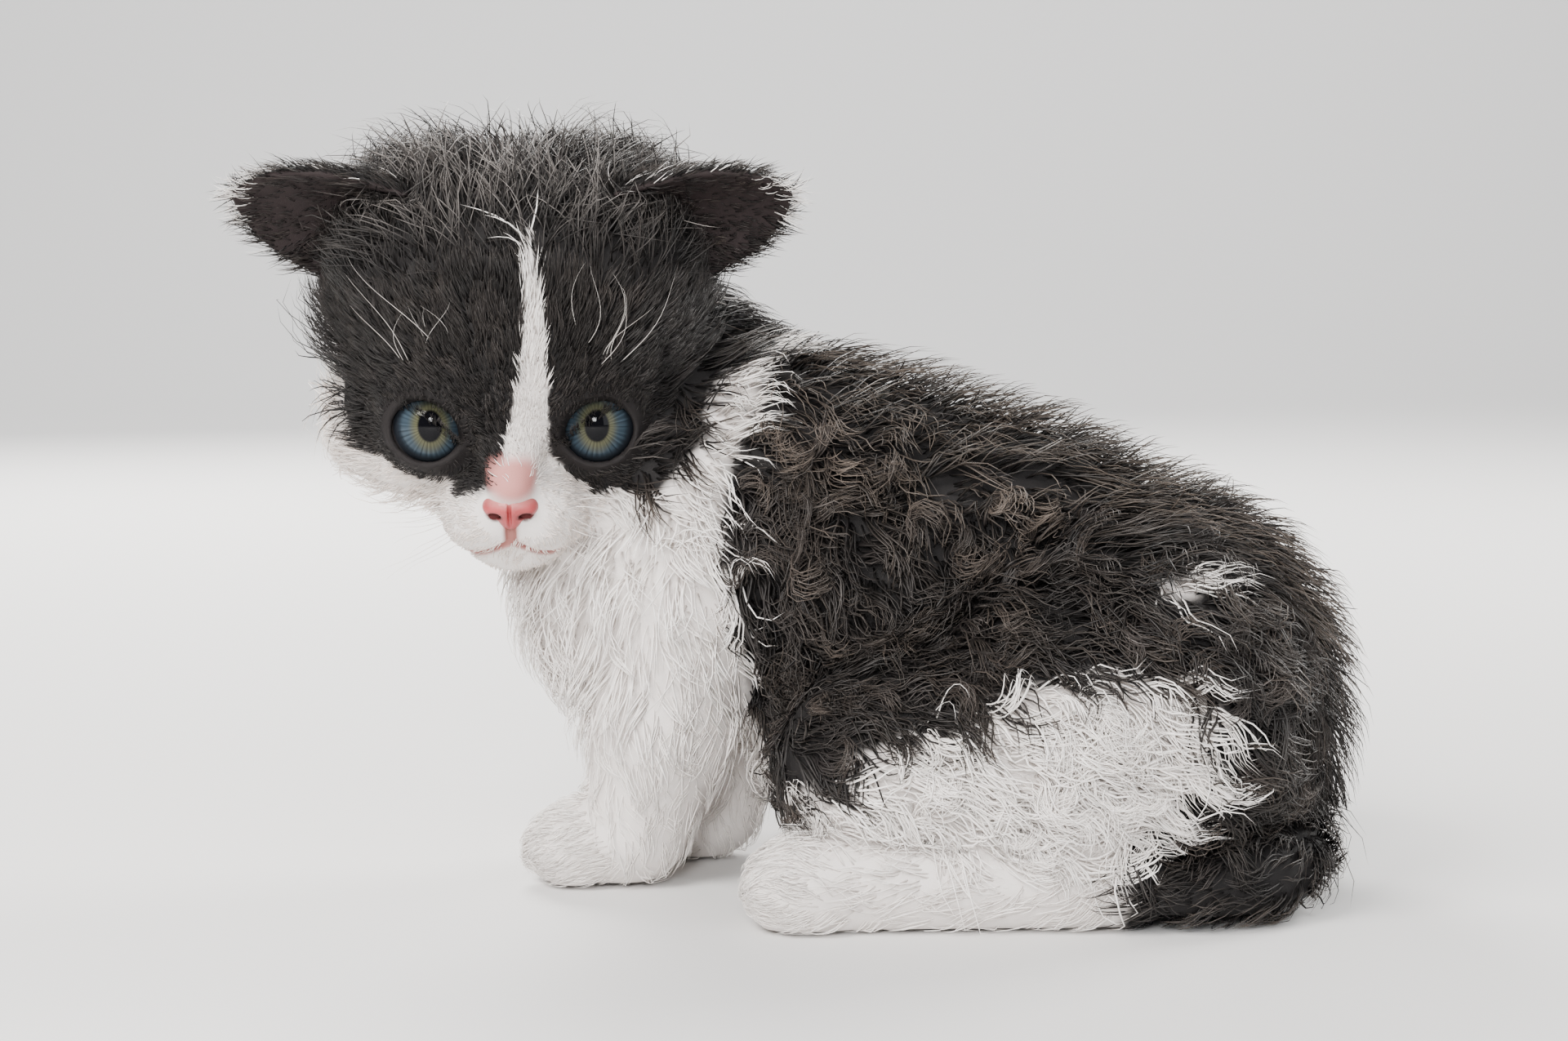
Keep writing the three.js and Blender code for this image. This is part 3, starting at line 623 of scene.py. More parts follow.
# The skin: one closed surface over the whole body.
def polygons(field, low, high, cell):
    counts = np.ceil((np.array(high) - low) / cell).astype(int) + 1
    axes = [low[i] + cell * np.arange(counts[i]) for i in range(3)]
    values = np.empty(counts, np.float32)
    for i, x in enumerate(axes[0]):
        y, z = np.meshgrid(axes[1], axes[2], indexing="ij")
        sheet = np.stack([np.full(y.size, x), y.ravel(), z.ravel()], 1)
        values[i] = field(sheet).reshape(y.shape)
    grid = openvdb.FloatGrid(FAR)
    grid.copyFromArray(np.clip(values, -4 * cell, 4 * cell))
    places, quads = grid.convertToQuads(0.0)
    return np.asarray(places, float) * cell + low, np.asarray(quads)


def facing_out(places, quads, field):
    a, b, d = places[quads[:, 0]], places[quads[:, 1]], places[quads[:, 3]]
    facing = np.einsum("ij,ij->i", np.cross(b - a, d - a), slope(field, a))
    return quads[:, ::-1] if np.median(facing) < 0 else quads


def skin_surface(p):
    """The skin with the face's cuts, levelled just above the floor."""
    return soft_max(carve_face(p, bare_body(p)), LOWEST_SKIN - p[:, 2], 0.6)


def make_skin():
    """The skin, with a finer mesh on the face, and its points in the design frame."""
    low, high = np.array([-92.0, -54.0, -1.5]), np.array([94.0, 54.0, 124.0])
    places, quads = polygons(skin_surface, low, high, SKIN_CELL)
    quads = facing_out(places, quads, skin_surface)
    mesh = bpy.data.meshes.new("skin")
    mesh.from_pydata(places, [], quads)
    fine = bmesh.new()
    fine.from_mesh(mesh)
    fore, left, up = into_head(places).T
    near_face = (fore > 7) & (np.abs(left) < 24) & (up > -30) & (up < 7)
    fine.verts.ensure_lookup_table()
    edges = [e for e in fine.edges if near_face[e.verts[0].index] and near_face[e.verts[1].index]]
    bmesh.ops.subdivide_edges(fine, edges=edges, cuts=1, use_grid_fill=True)
    fine.to_mesh(mesh)
    fine.free()
    corners = np.zeros(len(mesh.vertices) * 3, np.float32)
    mesh.vertices.foreach_get("co", corners)
    places = settle(skin_surface, corners.reshape(-1, 3).astype(float))
    mesh.vertices.foreach_set("co", to_row(places).ravel())
    tint_points(mesh, skin_colours(places, owner_of(places)))
    mesh.shade_smooth()
    return link_object("skin", mesh), places


# Materials
BUMP_DEPTH = 0.0003


def tinted(name, roughness, specular=0.5, coat=0.0, bump=0.0, bump_scale=900.0):
    material = bpy.data.materials.new(name)
    material.use_nodes = True
    nodes, links = material.node_tree.nodes, material.node_tree.links
    shader = nodes["Principled BSDF"]
    source = nodes.new("ShaderNodeAttribute")
    source.attribute_name = "Tint"
    links.new(source.outputs["Color"], shader.inputs["Base Color"])
    shader.inputs["Roughness"].default_value = roughness
    shader.inputs["Specular IOR Level"].default_value = specular
    shader.inputs["Coat Weight"].default_value = coat
    shader.inputs["Coat Roughness"].default_value = 0.03
    if bump:
        noise, relief = nodes.new("ShaderNodeTexNoise"), nodes.new("ShaderNodeBump")
        noise.inputs["Scale"].default_value = bump_scale
        noise.inputs["Detail"].default_value = 3
        relief.inputs["Strength"].default_value = bump
        relief.inputs["Distance"].default_value = BUMP_DEPTH
        links.new(noise.outputs["Fac"], relief.inputs["Height"])
        links.new(relief.outputs["Normal"], shader.inputs["Normal"])
    return material


def plain(name, colour, roughness):
    material = bpy.data.materials.new(name)
    material.use_nodes = True
    shader = material.node_tree.nodes["Principled BSDF"]
    shader.inputs["Base Color"].default_value = (*colour, 1)
    shader.inputs["Roughness"].default_value = roughness
    return material


# The coat. Each place on the skin has a lie, a length, a size of curl and a stand (0 lying, 1 upright).
LONG_HAIR = 6.0


def sideways(amount, side):
    """Directions that lean outward by an amount, each to its own side."""
    return np.stack([0 * side, amount * side, 0 * side], 1)


def torso_hair(p, normal, torso, side):
    """Lie, length, curl and stand, as on the flank, with what back, rump and chest change."""
    count = len(p)
    lie = np.tile(np.array([0.8, 0.0, -0.75]), (count, 1))
    back = ramp(0.35, 0.75, normal[:, 2]) * torso
    rump = ramp(0.45, 0.8, normal[:, 0]) * torso
    chest = ramp(-10, -26, p[:, 0]) * torso
    lie += back[:, None] * (0.5 * np.array([1, 0, 0]) + 0.5 * sideways(1, side))
    lie += rump[:, None] * np.array([-0.2, 0, -0.8])
    lie = mix(lie, np.array([-0.1, 0, -1.0]) + sideways(0.35, side), chest[:, None])
    curl = mix(np.full(count, 2.5), 0.9, np.maximum(back, rump))
    stand = mix(np.full(count, 0.5), 0.85, np.maximum(back, rump))
    return lie, mix(np.full(count, 13.0), 11.5, chest), mix(curl, 1.1, chest), stand


def head_hair(q, head):
    """Lie, length, curl and stand on the head, away from the nose and from the eyes."""
    fore, left, up = q.T
    lie = np.stack([-0.5 * np.ones(len(q)), left * 0.9 - 2.6, up + 9], 1)
    lie[:, 0] = -0.42 * np.linalg.norm(lie[:, 1:], axis=1)
    lie = lie @ HEAD_AXES
    crown = ramp(13, 27, up) * ramp(16, 8, fore)
    brow = ramp(1, 20, up)
    cheek = ramp(16, 28, np.abs(left)) * ramp(12, 0, up) * ramp(14, 4, fore)
    jaw = ramp(-14, -26, up) * ramp(20, 10, fore)
    muzzle = ramp(15, 22, fore) * ramp(-4, -9, up)
    back_of_head = ramp(0, -14, fore)
    length = mix(2.4 + 2.6 * brow + 8.5 * crown + 9.5 * cheek + 9 * jaw, 1.7, muzzle)
    length = np.maximum(length, 9 * back_of_head)
    for side in (LEFT, RIGHT):
        ring, _ = lid_place(q, side)
        near = ramp(5.0, 0.8, ring) * (fore > 6) * head
        from_eye = unit(q - EYE_AT * (1, -side, 1)) @ HEAD_AXES
        lie = mix(lie, from_eye * np.linalg.norm(lie, axis=1, keepdims=True), 0.9 * near[:, None])
        length = mix(length, 1.5, 0.85 * near)
    stand = np.minimum(0.3 + 0.68 * crown + 0.35 * cheek + 0.25 * jaw, 1.0)
    return lie, length, 0.15 + 0.7 * crown + 0.9 * cheek, stand


def ear_hair(p, side):
    """Lie and length on an ear, towards its tip and its edges."""
    _, axis, across, _ = ear_axes(side)
    t, s, half, _, _ = ear_places(p, side)
    lie = unit(axis) + 0.45 * np.sign(s)[:, None] * across * (np.abs(s) / half)[:, None]
    edge = ramp(0.55, 0.95, np.abs(s) / half) + ramp(0.6, 0.9, t)
    return lie, 2.4 + 2.6 * np.clip(edge, 0, 1)


def lie_and_length(p, normal, owner):
    """Lie, hair length, size of curl and stand at places on the skin."""
    x, y, z = p.T
    q = into_head(p)
    outer = np.sign(y + 1e-6)
    hair = torso_hair(p, normal, owned_by(owner, "torso"), outer)

    def lay(form, *values):
        """Sets lie, length, curl and stand at the places that belong to a form."""
        nonlocal hair
        here = owned_by(owner, form)
        hair = [np.where(here[:, None] if i == 0 else here, new, old)
                for i, (new, old) in enumerate(zip(values, hair))]

    throat = ramp(0.1, -0.6, normal[:, 0] + 0.3 * normal[:, 2])
    nape_lie = np.array([0.75, 0.0, -0.55]) + sideways(-0.1, outer)
    lay("neck", mix(nape_lie, np.array([-0.15, -0.25, -1.0]), throat[:, None]), 11, 1.2, 0.6)
    lay("head", *head_hair(q, owned_by(owner, "head")))
    for side, word in SIDE_WORDS:
        knee_share, toe_share = ramp(30, 16, z), ramp(22, 4, x)
        elbow_share = ramp(14, 40, z)
        lay("ear_" + word, *ear_hair(p, side), 0.3, 0.25)
        lay("thigh_" + word, (0.85, 0.0, -0.6), 13.5 - 2 * knee_share, 2.0, 0.5)
        lay("foot_" + word, (-1.0, 0.1 * side, -0.12), 7.6 - 3.4 * toe_share, 0.8, 0.42)
        lay("foreleg_" + word, (0.12, 0.0, -1.0), 6.2 + 4.2 * elbow_share, 0.8, 0.4)
        lay("paw_" + word, (-1.0, 0.0, -0.25), 4.4, 0.35, 0.35)
    tail = owned_by(owner, "tail")
    if tail.any():
        gaps = np.linalg.norm(p[tail][:, None] - TAIL_POINTS[None], axis=2)
        near = np.clip(gaps.argmin(1), 0, TAIL_STEPS - 2)
        hair[0][tail] = unit(TAIL_POINTS[near + 1] - TAIL_POINTS[near])
        lay("tail", hair[0], 8.5, 1.0, 0.45)
    lie, length, curl, stand = hair
    lie = unit(lie - normal * np.einsum("ij,ij->i", lie, normal)[:, None])
    return lie, length, curl, stand


def hair_share(p):
    """Share of hair that stays: none on lids' rims, mouth and nose leather, little on the bridge."""
    q = into_head(p)
    fore = q[:, 0]
    keep = np.ones(len(p))
    for side in (LEFT, RIGHT):
        ring, ahead = lid_place(q, side)
        keep *= 1 - ramp(1.4, 0.8, ring) * (ahead > -3) * (fore > 4)
    keep *= 1 - 0.92 * bridge_share(q) * (fore > 18)
    keep *= ramp(0.95, 1.1, from_middle(q, NOSE_PAD))
    keep *= ramp(0.6, 1.4, mouth_gap(q))
    return keep * (p[:, 2] > 1.2)


def scatter(triangles, weight, count):
    """Random places on triangles, seeded, where weight is a density for each triangle."""
    a, b, c = triangles[:, 0], triangles[:, 1], triangles[:, 2]
    area = np.linalg.norm(np.cross(b - a, c - a), axis=1) / 2
    odds = area * weight
    picked = rng.choice(len(odds), size=count, p=odds / odds.sum())
    u, v = rng.random(count), rng.random(count)
    over = u + v > 1
    u[over], v[over] = 1 - u[over], 1 - v[over]
    return a[picked] + (b - a)[picked] * u[:, None] + (c - a)[picked] * v[:, None]


def nearest_guides(roots, owner, guides):
    """The index of the guide that each root follows, the nearest on its own form."""
    near = np.zeros(len(roots), int)
    for k in np.unique(owner):
        mine, theirs = np.flatnonzero(owner == k), np.flatnonzero(guides.owner == k)
        if not len(theirs):
            theirs = np.arange(len(guides.places))
        tree = kdtree.KDTree(len(theirs))
        for i in theirs:
            tree.insert(guides.places[i], int(i))
        tree.balance()
        near[mine] = [tree.find(roots[i])[1] for i in mine]
    return near


def turned(v, axis, angle):
    c, s = np.cos(angle)[:, None], np.sin(angle)[:, None]
    return v * c + np.cross(axis, v) * s + axis * np.einsum("ij,ij->i", axis, v)[:, None] * (1 - c)


SIDES = 3
GUIDE_COUNT = 5200
# Kinds of hair: how many, rings in each, and half width in mm.
KINDS = {"short": (26000, 3, 0.135), "long": (17500, 4, 0.155), "curly": (10200, 7, 0.18)}
CURLY_FROM = 1.35
# Locks that curl as one over the coat, coloured brighter as painted highlights.
LOCK_COUNT = 290
LOCK_HAIRS = 18
LOCK_RINGS = 10
LOCK_HALF_WIDTH = 0.135
LOCK_SPREAD = 0.75
LOCK_BOLDNESS = 1.35
# Rings that a strand needs to show all of its turns, and the share of the crown's hairs that stick out.
FULL_CURL_RINGS = 7
SPIKE_SHARE = 0.15
LOWEST_RING = 0.5
LOWEST_CORNER = 0.25

Guides = namedtuple("Guides", "places owner swing phase size turns shade rust")


def make_guides(places, swing, size, turns, shade, rust, rust_power):
    """Clumps that hairs follow: how each swings aside, curls, grows and is toned. Ranges are low and high."""
    count = len(places)
    return Guides(
        places,
        owner_of(places),
        rng.normal(0, swing, count),
        rng.uniform(0, 2 * np.pi, count),
        rng.uniform(*size, count),
        rng.choice([-1, 1], count) * rng.uniform(*turns, count),
        rng.uniform(*shade, count),
        rust * rng.random(count) ** rust_power,
    )


def strands(roots, rings, guides, half_width, boldness):
    """Curves from each root, strands by rings + 1 by 3, with their normal, owner, half width and tone."""
    owner = owner_of(roots)
    normal = slope(bare_body, roots)
    lie, length, curl, stand = lie_and_length(roots, normal, owner)
    curl = curl * boldness
    mine = nearest_guides(roots, owner, guides)
    phase = guides.phase[mine]
    count = len(roots)
    unruly = owned_by(owner, "head") & (length > LONG_HAIR)
    swing = guides.swing[mine] * (0.25 + 0.5 * (length > LONG_HAIR))
    lie = turned(lie, normal, swing + np.where(unruly, 0.4, 0.12) * rng.normal(0, 1, count))
    across = np.cross(normal, lie)
    varied = np.where(unruly, rng.uniform(0.5, 1.25, count), rng.uniform(0.75, 1.12, count))
    length = length * guides.size[mine] * varied
    depth = np.maximum(-body_field(roots, 1.0), 0.0)
    spike = unruly & (rng.random(count) < SPIKE_SHARE)
    length = np.where(spike, 1.25 * length, length)
    ceiling = np.maximum(depth * np.where(spike, 1.8, 1.05), 0.25 * length)
    top = np.minimum(length * (0.25 + 0.65 * stand), ceiling)
    top = np.where(boldness > 1, np.maximum(top, 0.95 * depth), top * rng.uniform(0.55, 1.1, count))

    # A strand's way over a flat skin: along its lie, swaying as it turns, and pulled to its clump's middle.
    path = np.empty((count, rings + 1, 3))
    heights = np.empty((count, rings + 1))
    turns = guides.turns[mine] * min(1.0, rings / FULL_CURL_RINGS)
    pull = guides.places[mine] - roots
    pull -= normal * np.einsum("ij,ij->i", pull, normal)[:, None]
    gather = np.where(unruly, 0.25, np.where(length > LONG_HAIR, 0.82, 0.3)) * rng.uniform(0.6, 1.15, count)
    reach = np.sqrt(np.maximum(length**2 - top**2, (0.35 * length) ** 2))
    for k, t in enumerate(np.linspace(0, 1, rings + 1)):
        angle = 2 * np.pi * turns * t + phase
        swell = curl * np.sqrt(t) * (0.5 + 0.5 * t)
        aside = np.sin(angle) - np.sin(phase)
        ahead = 0.55 * (np.cos(angle) - np.cos(phase))
        path[:, k] = (
            roots
            + lie * (reach * t + swell * ahead)[:, None]
            + across * (swell * aside)[:, None]
            + pull * (gather * t**1.4)[:, None]
        )
        bow = 1 - (1 - t) ** (2.4 - stand)
        heights[:, k] = top * bow + 0.5 * swell * (np.cos(angle) - 1) * (t > 0) - 0.3 * (t == 0)

    # Each ring is then moved to its height over the real skin. An ear is too thin for that.
    ears = owned_by(owner, "ear_left", "ear_right")
    for k in range(rings + 1):
        here = path[:, k]
        gap = bare_body(here)
        steer = slope(bare_body, here)
        lift = np.where(ears, 0.0, np.clip(heights[:, k] - gap, -6, 9))
        path[:, k] = here + steer * lift[:, None] + normal * (np.where(ears, heights[:, k], 0.0))[:, None]
    path[:, :, 2] = np.maximum(path[:, :, 2], LOWEST_RING)
    thick = half_width * np.clip(length / 9, 0.62, 1.1) * rng.uniform(0.75, 1.2, count)
    thick = thick * np.where(unruly, 0.72, 1.0)
    return path, normal, owner, thick, (guides.shade[mine], guides.rust[mine])


def tube_mesh(path, normal, thick, rings):
    """Closed three-sided tubes that taper to a point: vertices and triangles of one strand after another."""
    count = len(path)
    tangent = unit(path[:, 1:] - path[:, :rings])
    side = unit(np.cross(tangent, normal[:, None]) + 1e-6)
    out = np.cross(side, tangent)
    taper = (1 - (np.arange(rings) / rings) ** 1.6) * 0.9 + 0.1
    verts = np.empty((count, rings * SIDES + 1, 3))
    for k in range(rings):
        for j in range(SIDES):
            angle = 2 * math.pi * (j + 0.5) / SIDES
            offset = side[:, k] * math.cos(angle) * 1.35 + out[:, k] * math.sin(angle) * 0.75
            verts[:, k * SIDES + j] = path[:, k] + offset * (thick * taper[k])[:, None]
    verts[:, -1] = path[:, rings]
    verts[:, :, 2] = np.maximum(verts[:, :, 2], LOWEST_CORNER)
    one = [(0, 2, 1)]
    for k in range(rings - 1):
        for j in range(SIDES):
            a, b = k * SIDES + j, k * SIDES + (j + 1) % SIDES
            one += [(a, b, b + SIDES), (a, b + SIDES, a + SIDES)]
    last = (rings - 1) * SIDES
    one += [(last + j, last + (j + 1) % SIDES, rings * SIDES) for j in range(SIDES)]
    return verts, np.array(one)


def coat_colours(roots, owner, tone_of, rings):
    """A colour for each ring of each strand, from the markings at its root, with painted rim light on the
    back's tips, painted shade on the lower face and painted highlight on the locks.
    """
    count = len(roots)
    draw = rng.random(count)
    is_white = white_share(roots, owner) + 0.25 * (draw - 0.5) > 0.5
    q = into_head(roots)
    t = np.linspace(0, 1, rings + 1)[None, :, None]
    shade, rust = tone_of
    # A clump's shade sets its tone; on the locks, shade above 1 is painted highlight.
    tone = (rng.uniform(0.8, 1.15, count) * shade)[:, None, None]
    head = owned_by(owner, "head")
    crown = ramp(19, 31, q[:, 2]) * head
    # On the top of the back the brown tips are painted rim light; the rest of the brown is each clump's rust.
    back = ramp(62, 80, roots[:, 2] + 0.35 * roots[:, 0]) * owned_by(owner, "torso")
    grey = 0.8 * crown * (rng.random(count) < 0.5) + 0.12 * (rng.random(count) < 0.12)
    rust_and_rim_light = 0.7 * back * (rng.random(count) < 0.7) + np.where(head, 0.08, 0.4) * rust
    tip = mix(BLACK_TIP, BROWN_TIP, np.clip(rust_and_rim_light, 0, 1)[:, None])
    tip = mix(tip, GREY_TIP, grey[:, None])
    dark = mix(BLACK_ROOT, tip[:, None], t**1.5) * tone
    # All white tips get a little cream; the lower face gets more peach, which is painted shade of the cheeks.
    cream_and_cheek_shade = ramp(0, -20, q[:, 2]) * head * 0.5 + 0.15
    white_tip = mix(WHITE_TIP, PEACH, (cream_and_cheek_shade * rng.uniform(0.2, 0.8, count))[:, None])
    pale = mix(WHITE_ROOT, white_tip[:, None], np.minimum(t * 2.2, 1)) * mix(1.0, np.minimum(tone, 1.1), 0.22)
    rim = np.zeros(count)
    for side, word in SIDE_WORDS:
        along, aside, half, _, _ = ear_places(roots, side)
        edge = 0.08 * ramp(0.86, 1.0, np.abs(aside) / half) + 0.9 * ramp(0.72, 0.96, along)
        rim += owned_by(owner, "ear_" + word) * np.clip(edge, 0, 1)
    fringe = owned_by(owner, "ear_left", "ear_right") & (rng.random(count) < 0.7 * rim)
    colour = np.where((is_white | fringe)[:, None, None], pale, dark)
    return np.clip(colour, 0, 0.95)


# OFBake: the skin's own shape laid out flat as one tile for each form and each way that it faces.
ATLAS_WIDTH = 760.0
PATCH = 0.003


def atlas():
    """Each tile's place and scales in the map, set out on shelves from the largest form down."""
    tiles, shelf_x, shelf_y, shelf_high = {}, 0.0, 0.0, 0.0
    scale = 1 / ATLAS_WIDTH
    for k, form in sorted(enumerate(FORMS), key=lambda item: -(item[1].high - item[1].low).max()):
        size = form.high - form.low
        for axis in range(3):
            for sign in (-1, 1):
                wide, high = [size[i] * scale for i in range(3) if i != axis]
                if shelf_x + wide > 1:
                    shelf_x, shelf_y, shelf_high = 0.0, shelf_y + shelf_high, 0.0
                tiles[(k, axis, sign)] = (shelf_x, shelf_y, scale)
                shelf_x += wide
                shelf_high = max(shelf_high, high)
    top = shelf_y + shelf_high
    return {key: (x, y / top, s, s / top) for key, (x, y, s) in tiles.items()}


ATLAS = atlas()


def bake_places(roots, normal, owner):
    axis = np.abs(normal).argmax(1)
    sign = np.where(normal[np.arange(len(roots)), axis] < 0, -1, 1)
    uv = np.zeros((len(roots), 2))
    for (k, a, s), (x, y, wide, high) in ATLAS.items():
        here = (owner == k) & (axis == a) & (sign == s)
        if here.any():
            others = [i for i in range(3) if i != a]
            flat = (roots[here] - FORMS[k].low)[:, others]
            uv[here] = np.stack([x + flat[:, 0] * wide, y + flat[:, 1] * high], 1)
    return np.clip(uv, PATCH, 1 - PATCH)


def coat_piece(name, verts, one, colours, uv_root, material):
    """One piece of many tubes, with a colour and a place in the OFBake map for each."""
    count, per = verts.shape[:2]
    faces = (np.arange(count)[:, None, None] * per + one[None]).reshape(-1, 3)
    piece = mesh_object(name, verts.reshape(-1, 3), faces, colours.reshape(-1, 3))
    rings = (per - 1) // SIDES
    index = np.arange(per)
    local = np.stack([(index % SIDES) / (SIDES - 1), (index // SIDES) / rings], 1) - 0.5
    local[-1] = (0, 0.5)
    uv = uv_root[:, None] + local[None] * PATCH
    layer = piece.data.uv_layers.new(name="OFBake")
    layer.data.foreach_set("uv", uv.reshape(-1, 2)[faces.ravel()].astype(np.float32).ravel())
    piece.data.materials.append(material)
    return piece


PIECE_FACES = 190000


def coat_pieces(word, roots, rings, guides, half_width, material, boldness=1.0):
    """Hair from each root, as pieces of at most PIECE_FACES triangles."""
    path, out, owner, thick, tone_of = strands(roots, rings, guides, half_width, boldness)
    verts, one = tube_mesh(path, out, thick, rings)
    ring_colour = coat_colours(roots, owner, tone_of, rings)
    sides = np.repeat(ring_colour[:, :rings], SIDES, axis=1)
    colours = np.concatenate([sides, ring_colour[:, rings:]], 1)
    uv_root = bake_places(roots, out, owner)
    per_piece = PIECE_FACES // len(one)
    for n, start in enumerate(range(0, len(roots), per_piece)):
        part = slice(start, start + per_piece)
        yield coat_piece(f"coat_{word}_{n + 1}", verts[part], one, colours[part], uv_root[part], material)


def curled_locks(triangles, weight, material):
    """Single locks that lie over the curly coat, each turning in its own way and brightened as painted
    highlight.
    """
    middles = scatter(triangles, weight, LOCK_COUNT)
    # The locks' shade of 1.1 to 2.6 brightens them: painted highlight on the curls.
    guides = make_guides(
        middles, swing=1.0, size=(0.5, 0.85), turns=(0.9, 1.5), shade=(1.1, 2.6), rust=0.6, rust_power=1
    )
    roots = np.repeat(middles, LOCK_HAIRS, axis=0)
    roots = roots + rng.normal(0, LOCK_SPREAD, (LOCK_COUNT * LOCK_HAIRS, 3))
    return coat_pieces("locks", roots, LOCK_RINGS, guides, LOCK_HALF_WIDTH, material, LOCK_BOLDNESS)


def between_legs(p):
    """True under the belly, where little hair would be seen."""
    x, y, z = p.T
    return (z < 6) & (np.abs(y) < 14) & (x > -14)


def grow_coat(triangles, material):
    """All of the coat: curled locks, and short, long and curly hair, each where the skin calls for it."""
    centres = triangles.mean(1)
    owner = owner_of(centres)
    normal = unit(np.cross(triangles[:, 1] - triangles[:, 0], triangles[:, 2] - triangles[:, 0]))
    _, length, curl, _ = lie_and_length(centres, normal, owner)
    keep = hair_share(centres)
    keep = keep * np.where(between_legs(centres), 0.3, 1.0) * np.where(normal[:, 2] < -0.55, 0.4, 1.0)
    keep = keep * np.where(owned_by(owner, "tail"), 1.6, 1.0)
    clump_density = np.where(length > LONG_HAIR, 1.6, np.clip(12 / length, 1, 2.5))
    places = scatter(triangles, clump_density, GUIDE_COUNT)
    guides = make_guides(
        places, swing=0.55, size=(0.8, 1.15), turns=(0.8, 1.35), shade=(0.6, 1.5), rust=1, rust_power=2
    )
    pieces = [*curled_locks(triangles, keep * np.where(curl >= CURLY_FROM, 1.0, 0.0), material)]
    short, curly = length < LONG_HAIR, curl >= CURLY_FROM
    masks = {"short": short, "long": ~short & ~curly, "curly": ~short & curly}
    density = np.where(owned_by(owner, "head"), 2.2, np.where(owned_by(owner, "neck"), 1.5, 1.0))
    for word, (count, rings, half_width) in KINDS.items():
        roots = scatter(triangles, keep * masks[word] * density, count)
        roots = roots[np.lexsort((roots[:, 2], roots[:, 0] // 20))]
        pieces += coat_pieces(word, roots, rings, guides, half_width, material)
    return pieces


# Eyes
IRIS_RADIUS = 6.1
PUPIL = (1.9, 2.5)
CORNEA_RISE = 0.55
CORNEA_ANGLE = 0.8
EYE_GAP = 0.35
EYE_ROWS, EYE_COLUMNS = 96, 128
SOCKET_PULL = 0.35


def make_eye(side, name):
    """An eyeball with a domed cornea that looks at the camera, pulled a little to its socket's gaze."""
    centre = head_side(EYE_AT, side)
    look = unit(unit(CAMERA_AT - centre) + SOCKET_PULL * unit(eye_gaze(side) @ HEAD_AXES))
    right = unit(np.cross(np.array([0, 0, 1.0]), look))
    up = np.cross(look, right)
    places, colours = [], []
    for theta in np.pi * (np.arange(EYE_ROWS + 1) / EYE_ROWS) ** 1.5:
        dome = CORNEA_RISE * max(0.0, 1 - (theta / CORNEA_ANGLE) ** 2)
        for phi in 2 * np.pi * np.arange(EYE_COLUMNS) / EYE_COLUMNS:
            a, b = math.sin(theta) * math.cos(phi), math.sin(theta) * math.sin(phi)
            direction = a * right + b * up + math.cos(theta) * look
            places.append(centre + direction * (EYE_RADIUS - EYE_GAP + dome))
            colours.append(eye_colour(a * EYE_RADIUS, b * EYE_RADIUS, phi, theta))
    faces = []
    for row in range(0, EYE_ROWS * EYE_COLUMNS, EYE_COLUMNS):
        for column in range(EYE_COLUMNS):
            a, b = row + column, row + (column + 1) % EYE_COLUMNS
            faces.append((a, b, b + EYE_COLUMNS, a + EYE_COLUMNS))
    piece = mesh_object(name, np.array(places), faces, np.array(colours))
    clean = bmesh.new()
    clean.from_mesh(piece.data)
    bmesh.ops.remove_doubles(clean, verts=clean.verts, dist=1e-6)
    bmesh.ops.recalc_face_normals(clean, faces=clean.faces)
    clean.to_mesh(piece.data)
    clean.free()
    return piece


def eye_colour(x, y, phi, theta):
    """The colour at x and y from the pupil's middle, at the angle phi round it and theta from it."""
    if theta > np.pi / 2:
        return EYE_BACK
    r = math.hypot(x, y)
    pupil = math.hypot(x / PUPIL[0], y / PUPIL[1])
    streak = 0.5 + 0.25 * math.sin(37 * phi) + 0.15 * math.sin(61 * phi + 2) + 0.1 * math.sin(97 * phi + 1)
    outer, inner = IRIS_OUTER * (0.4 + 1.3 * streak), IRIS_INNER * (0.5 + 1.1 * streak)
    colour = mix(outer, inner, ramp(2.0, 1.15, pupil))
    colour = mix(colour, IRIS_RIM, ramp(IRIS_RADIUS - 1.7, IRIS_RADIUS - 0.3, r))
    colour = mix(colour, EYE_WHITE, ramp(IRIS_RADIUS + 0.15, IRIS_RADIUS + 0.6, r))
    return tuple(mix(colour, PUPIL_BLACK, ramp(1.12, 0.92, pupil)))


# Nose leather, its own fine surface over the muzzle.
NOSE_REACH = 8.5
NOSE_CELL = 0.24


def nose_field(p):
    q = into_head(p)
    both = both_sides(q)
    value = ball((27.8, 0, -11.3), (3.1, 3.5, 1.9))(q, 0)
    value = soft_min(value, ball((28.2, 0, -13.3), (2.4, 2.1, 2.3))(q, 0), 1.6)
    value = soft_min(value, ball((27.4, 2.7, -12.0), (2.6, 1.8, 1.4))(both, 0), 1.2)
    hole = ball(NOSTRIL, (2.4, 1.0, 0.62))(both, 0)
    value = soft_max(value, -hole, 0.3)
    groove = np.hypot(q[:, 1], np.maximum(q[:, 0] - 31.4, 0) + np.maximum(30.4 - q[:, 0], 0))
    return soft_max(value, 0.28 - groove, 0.3)


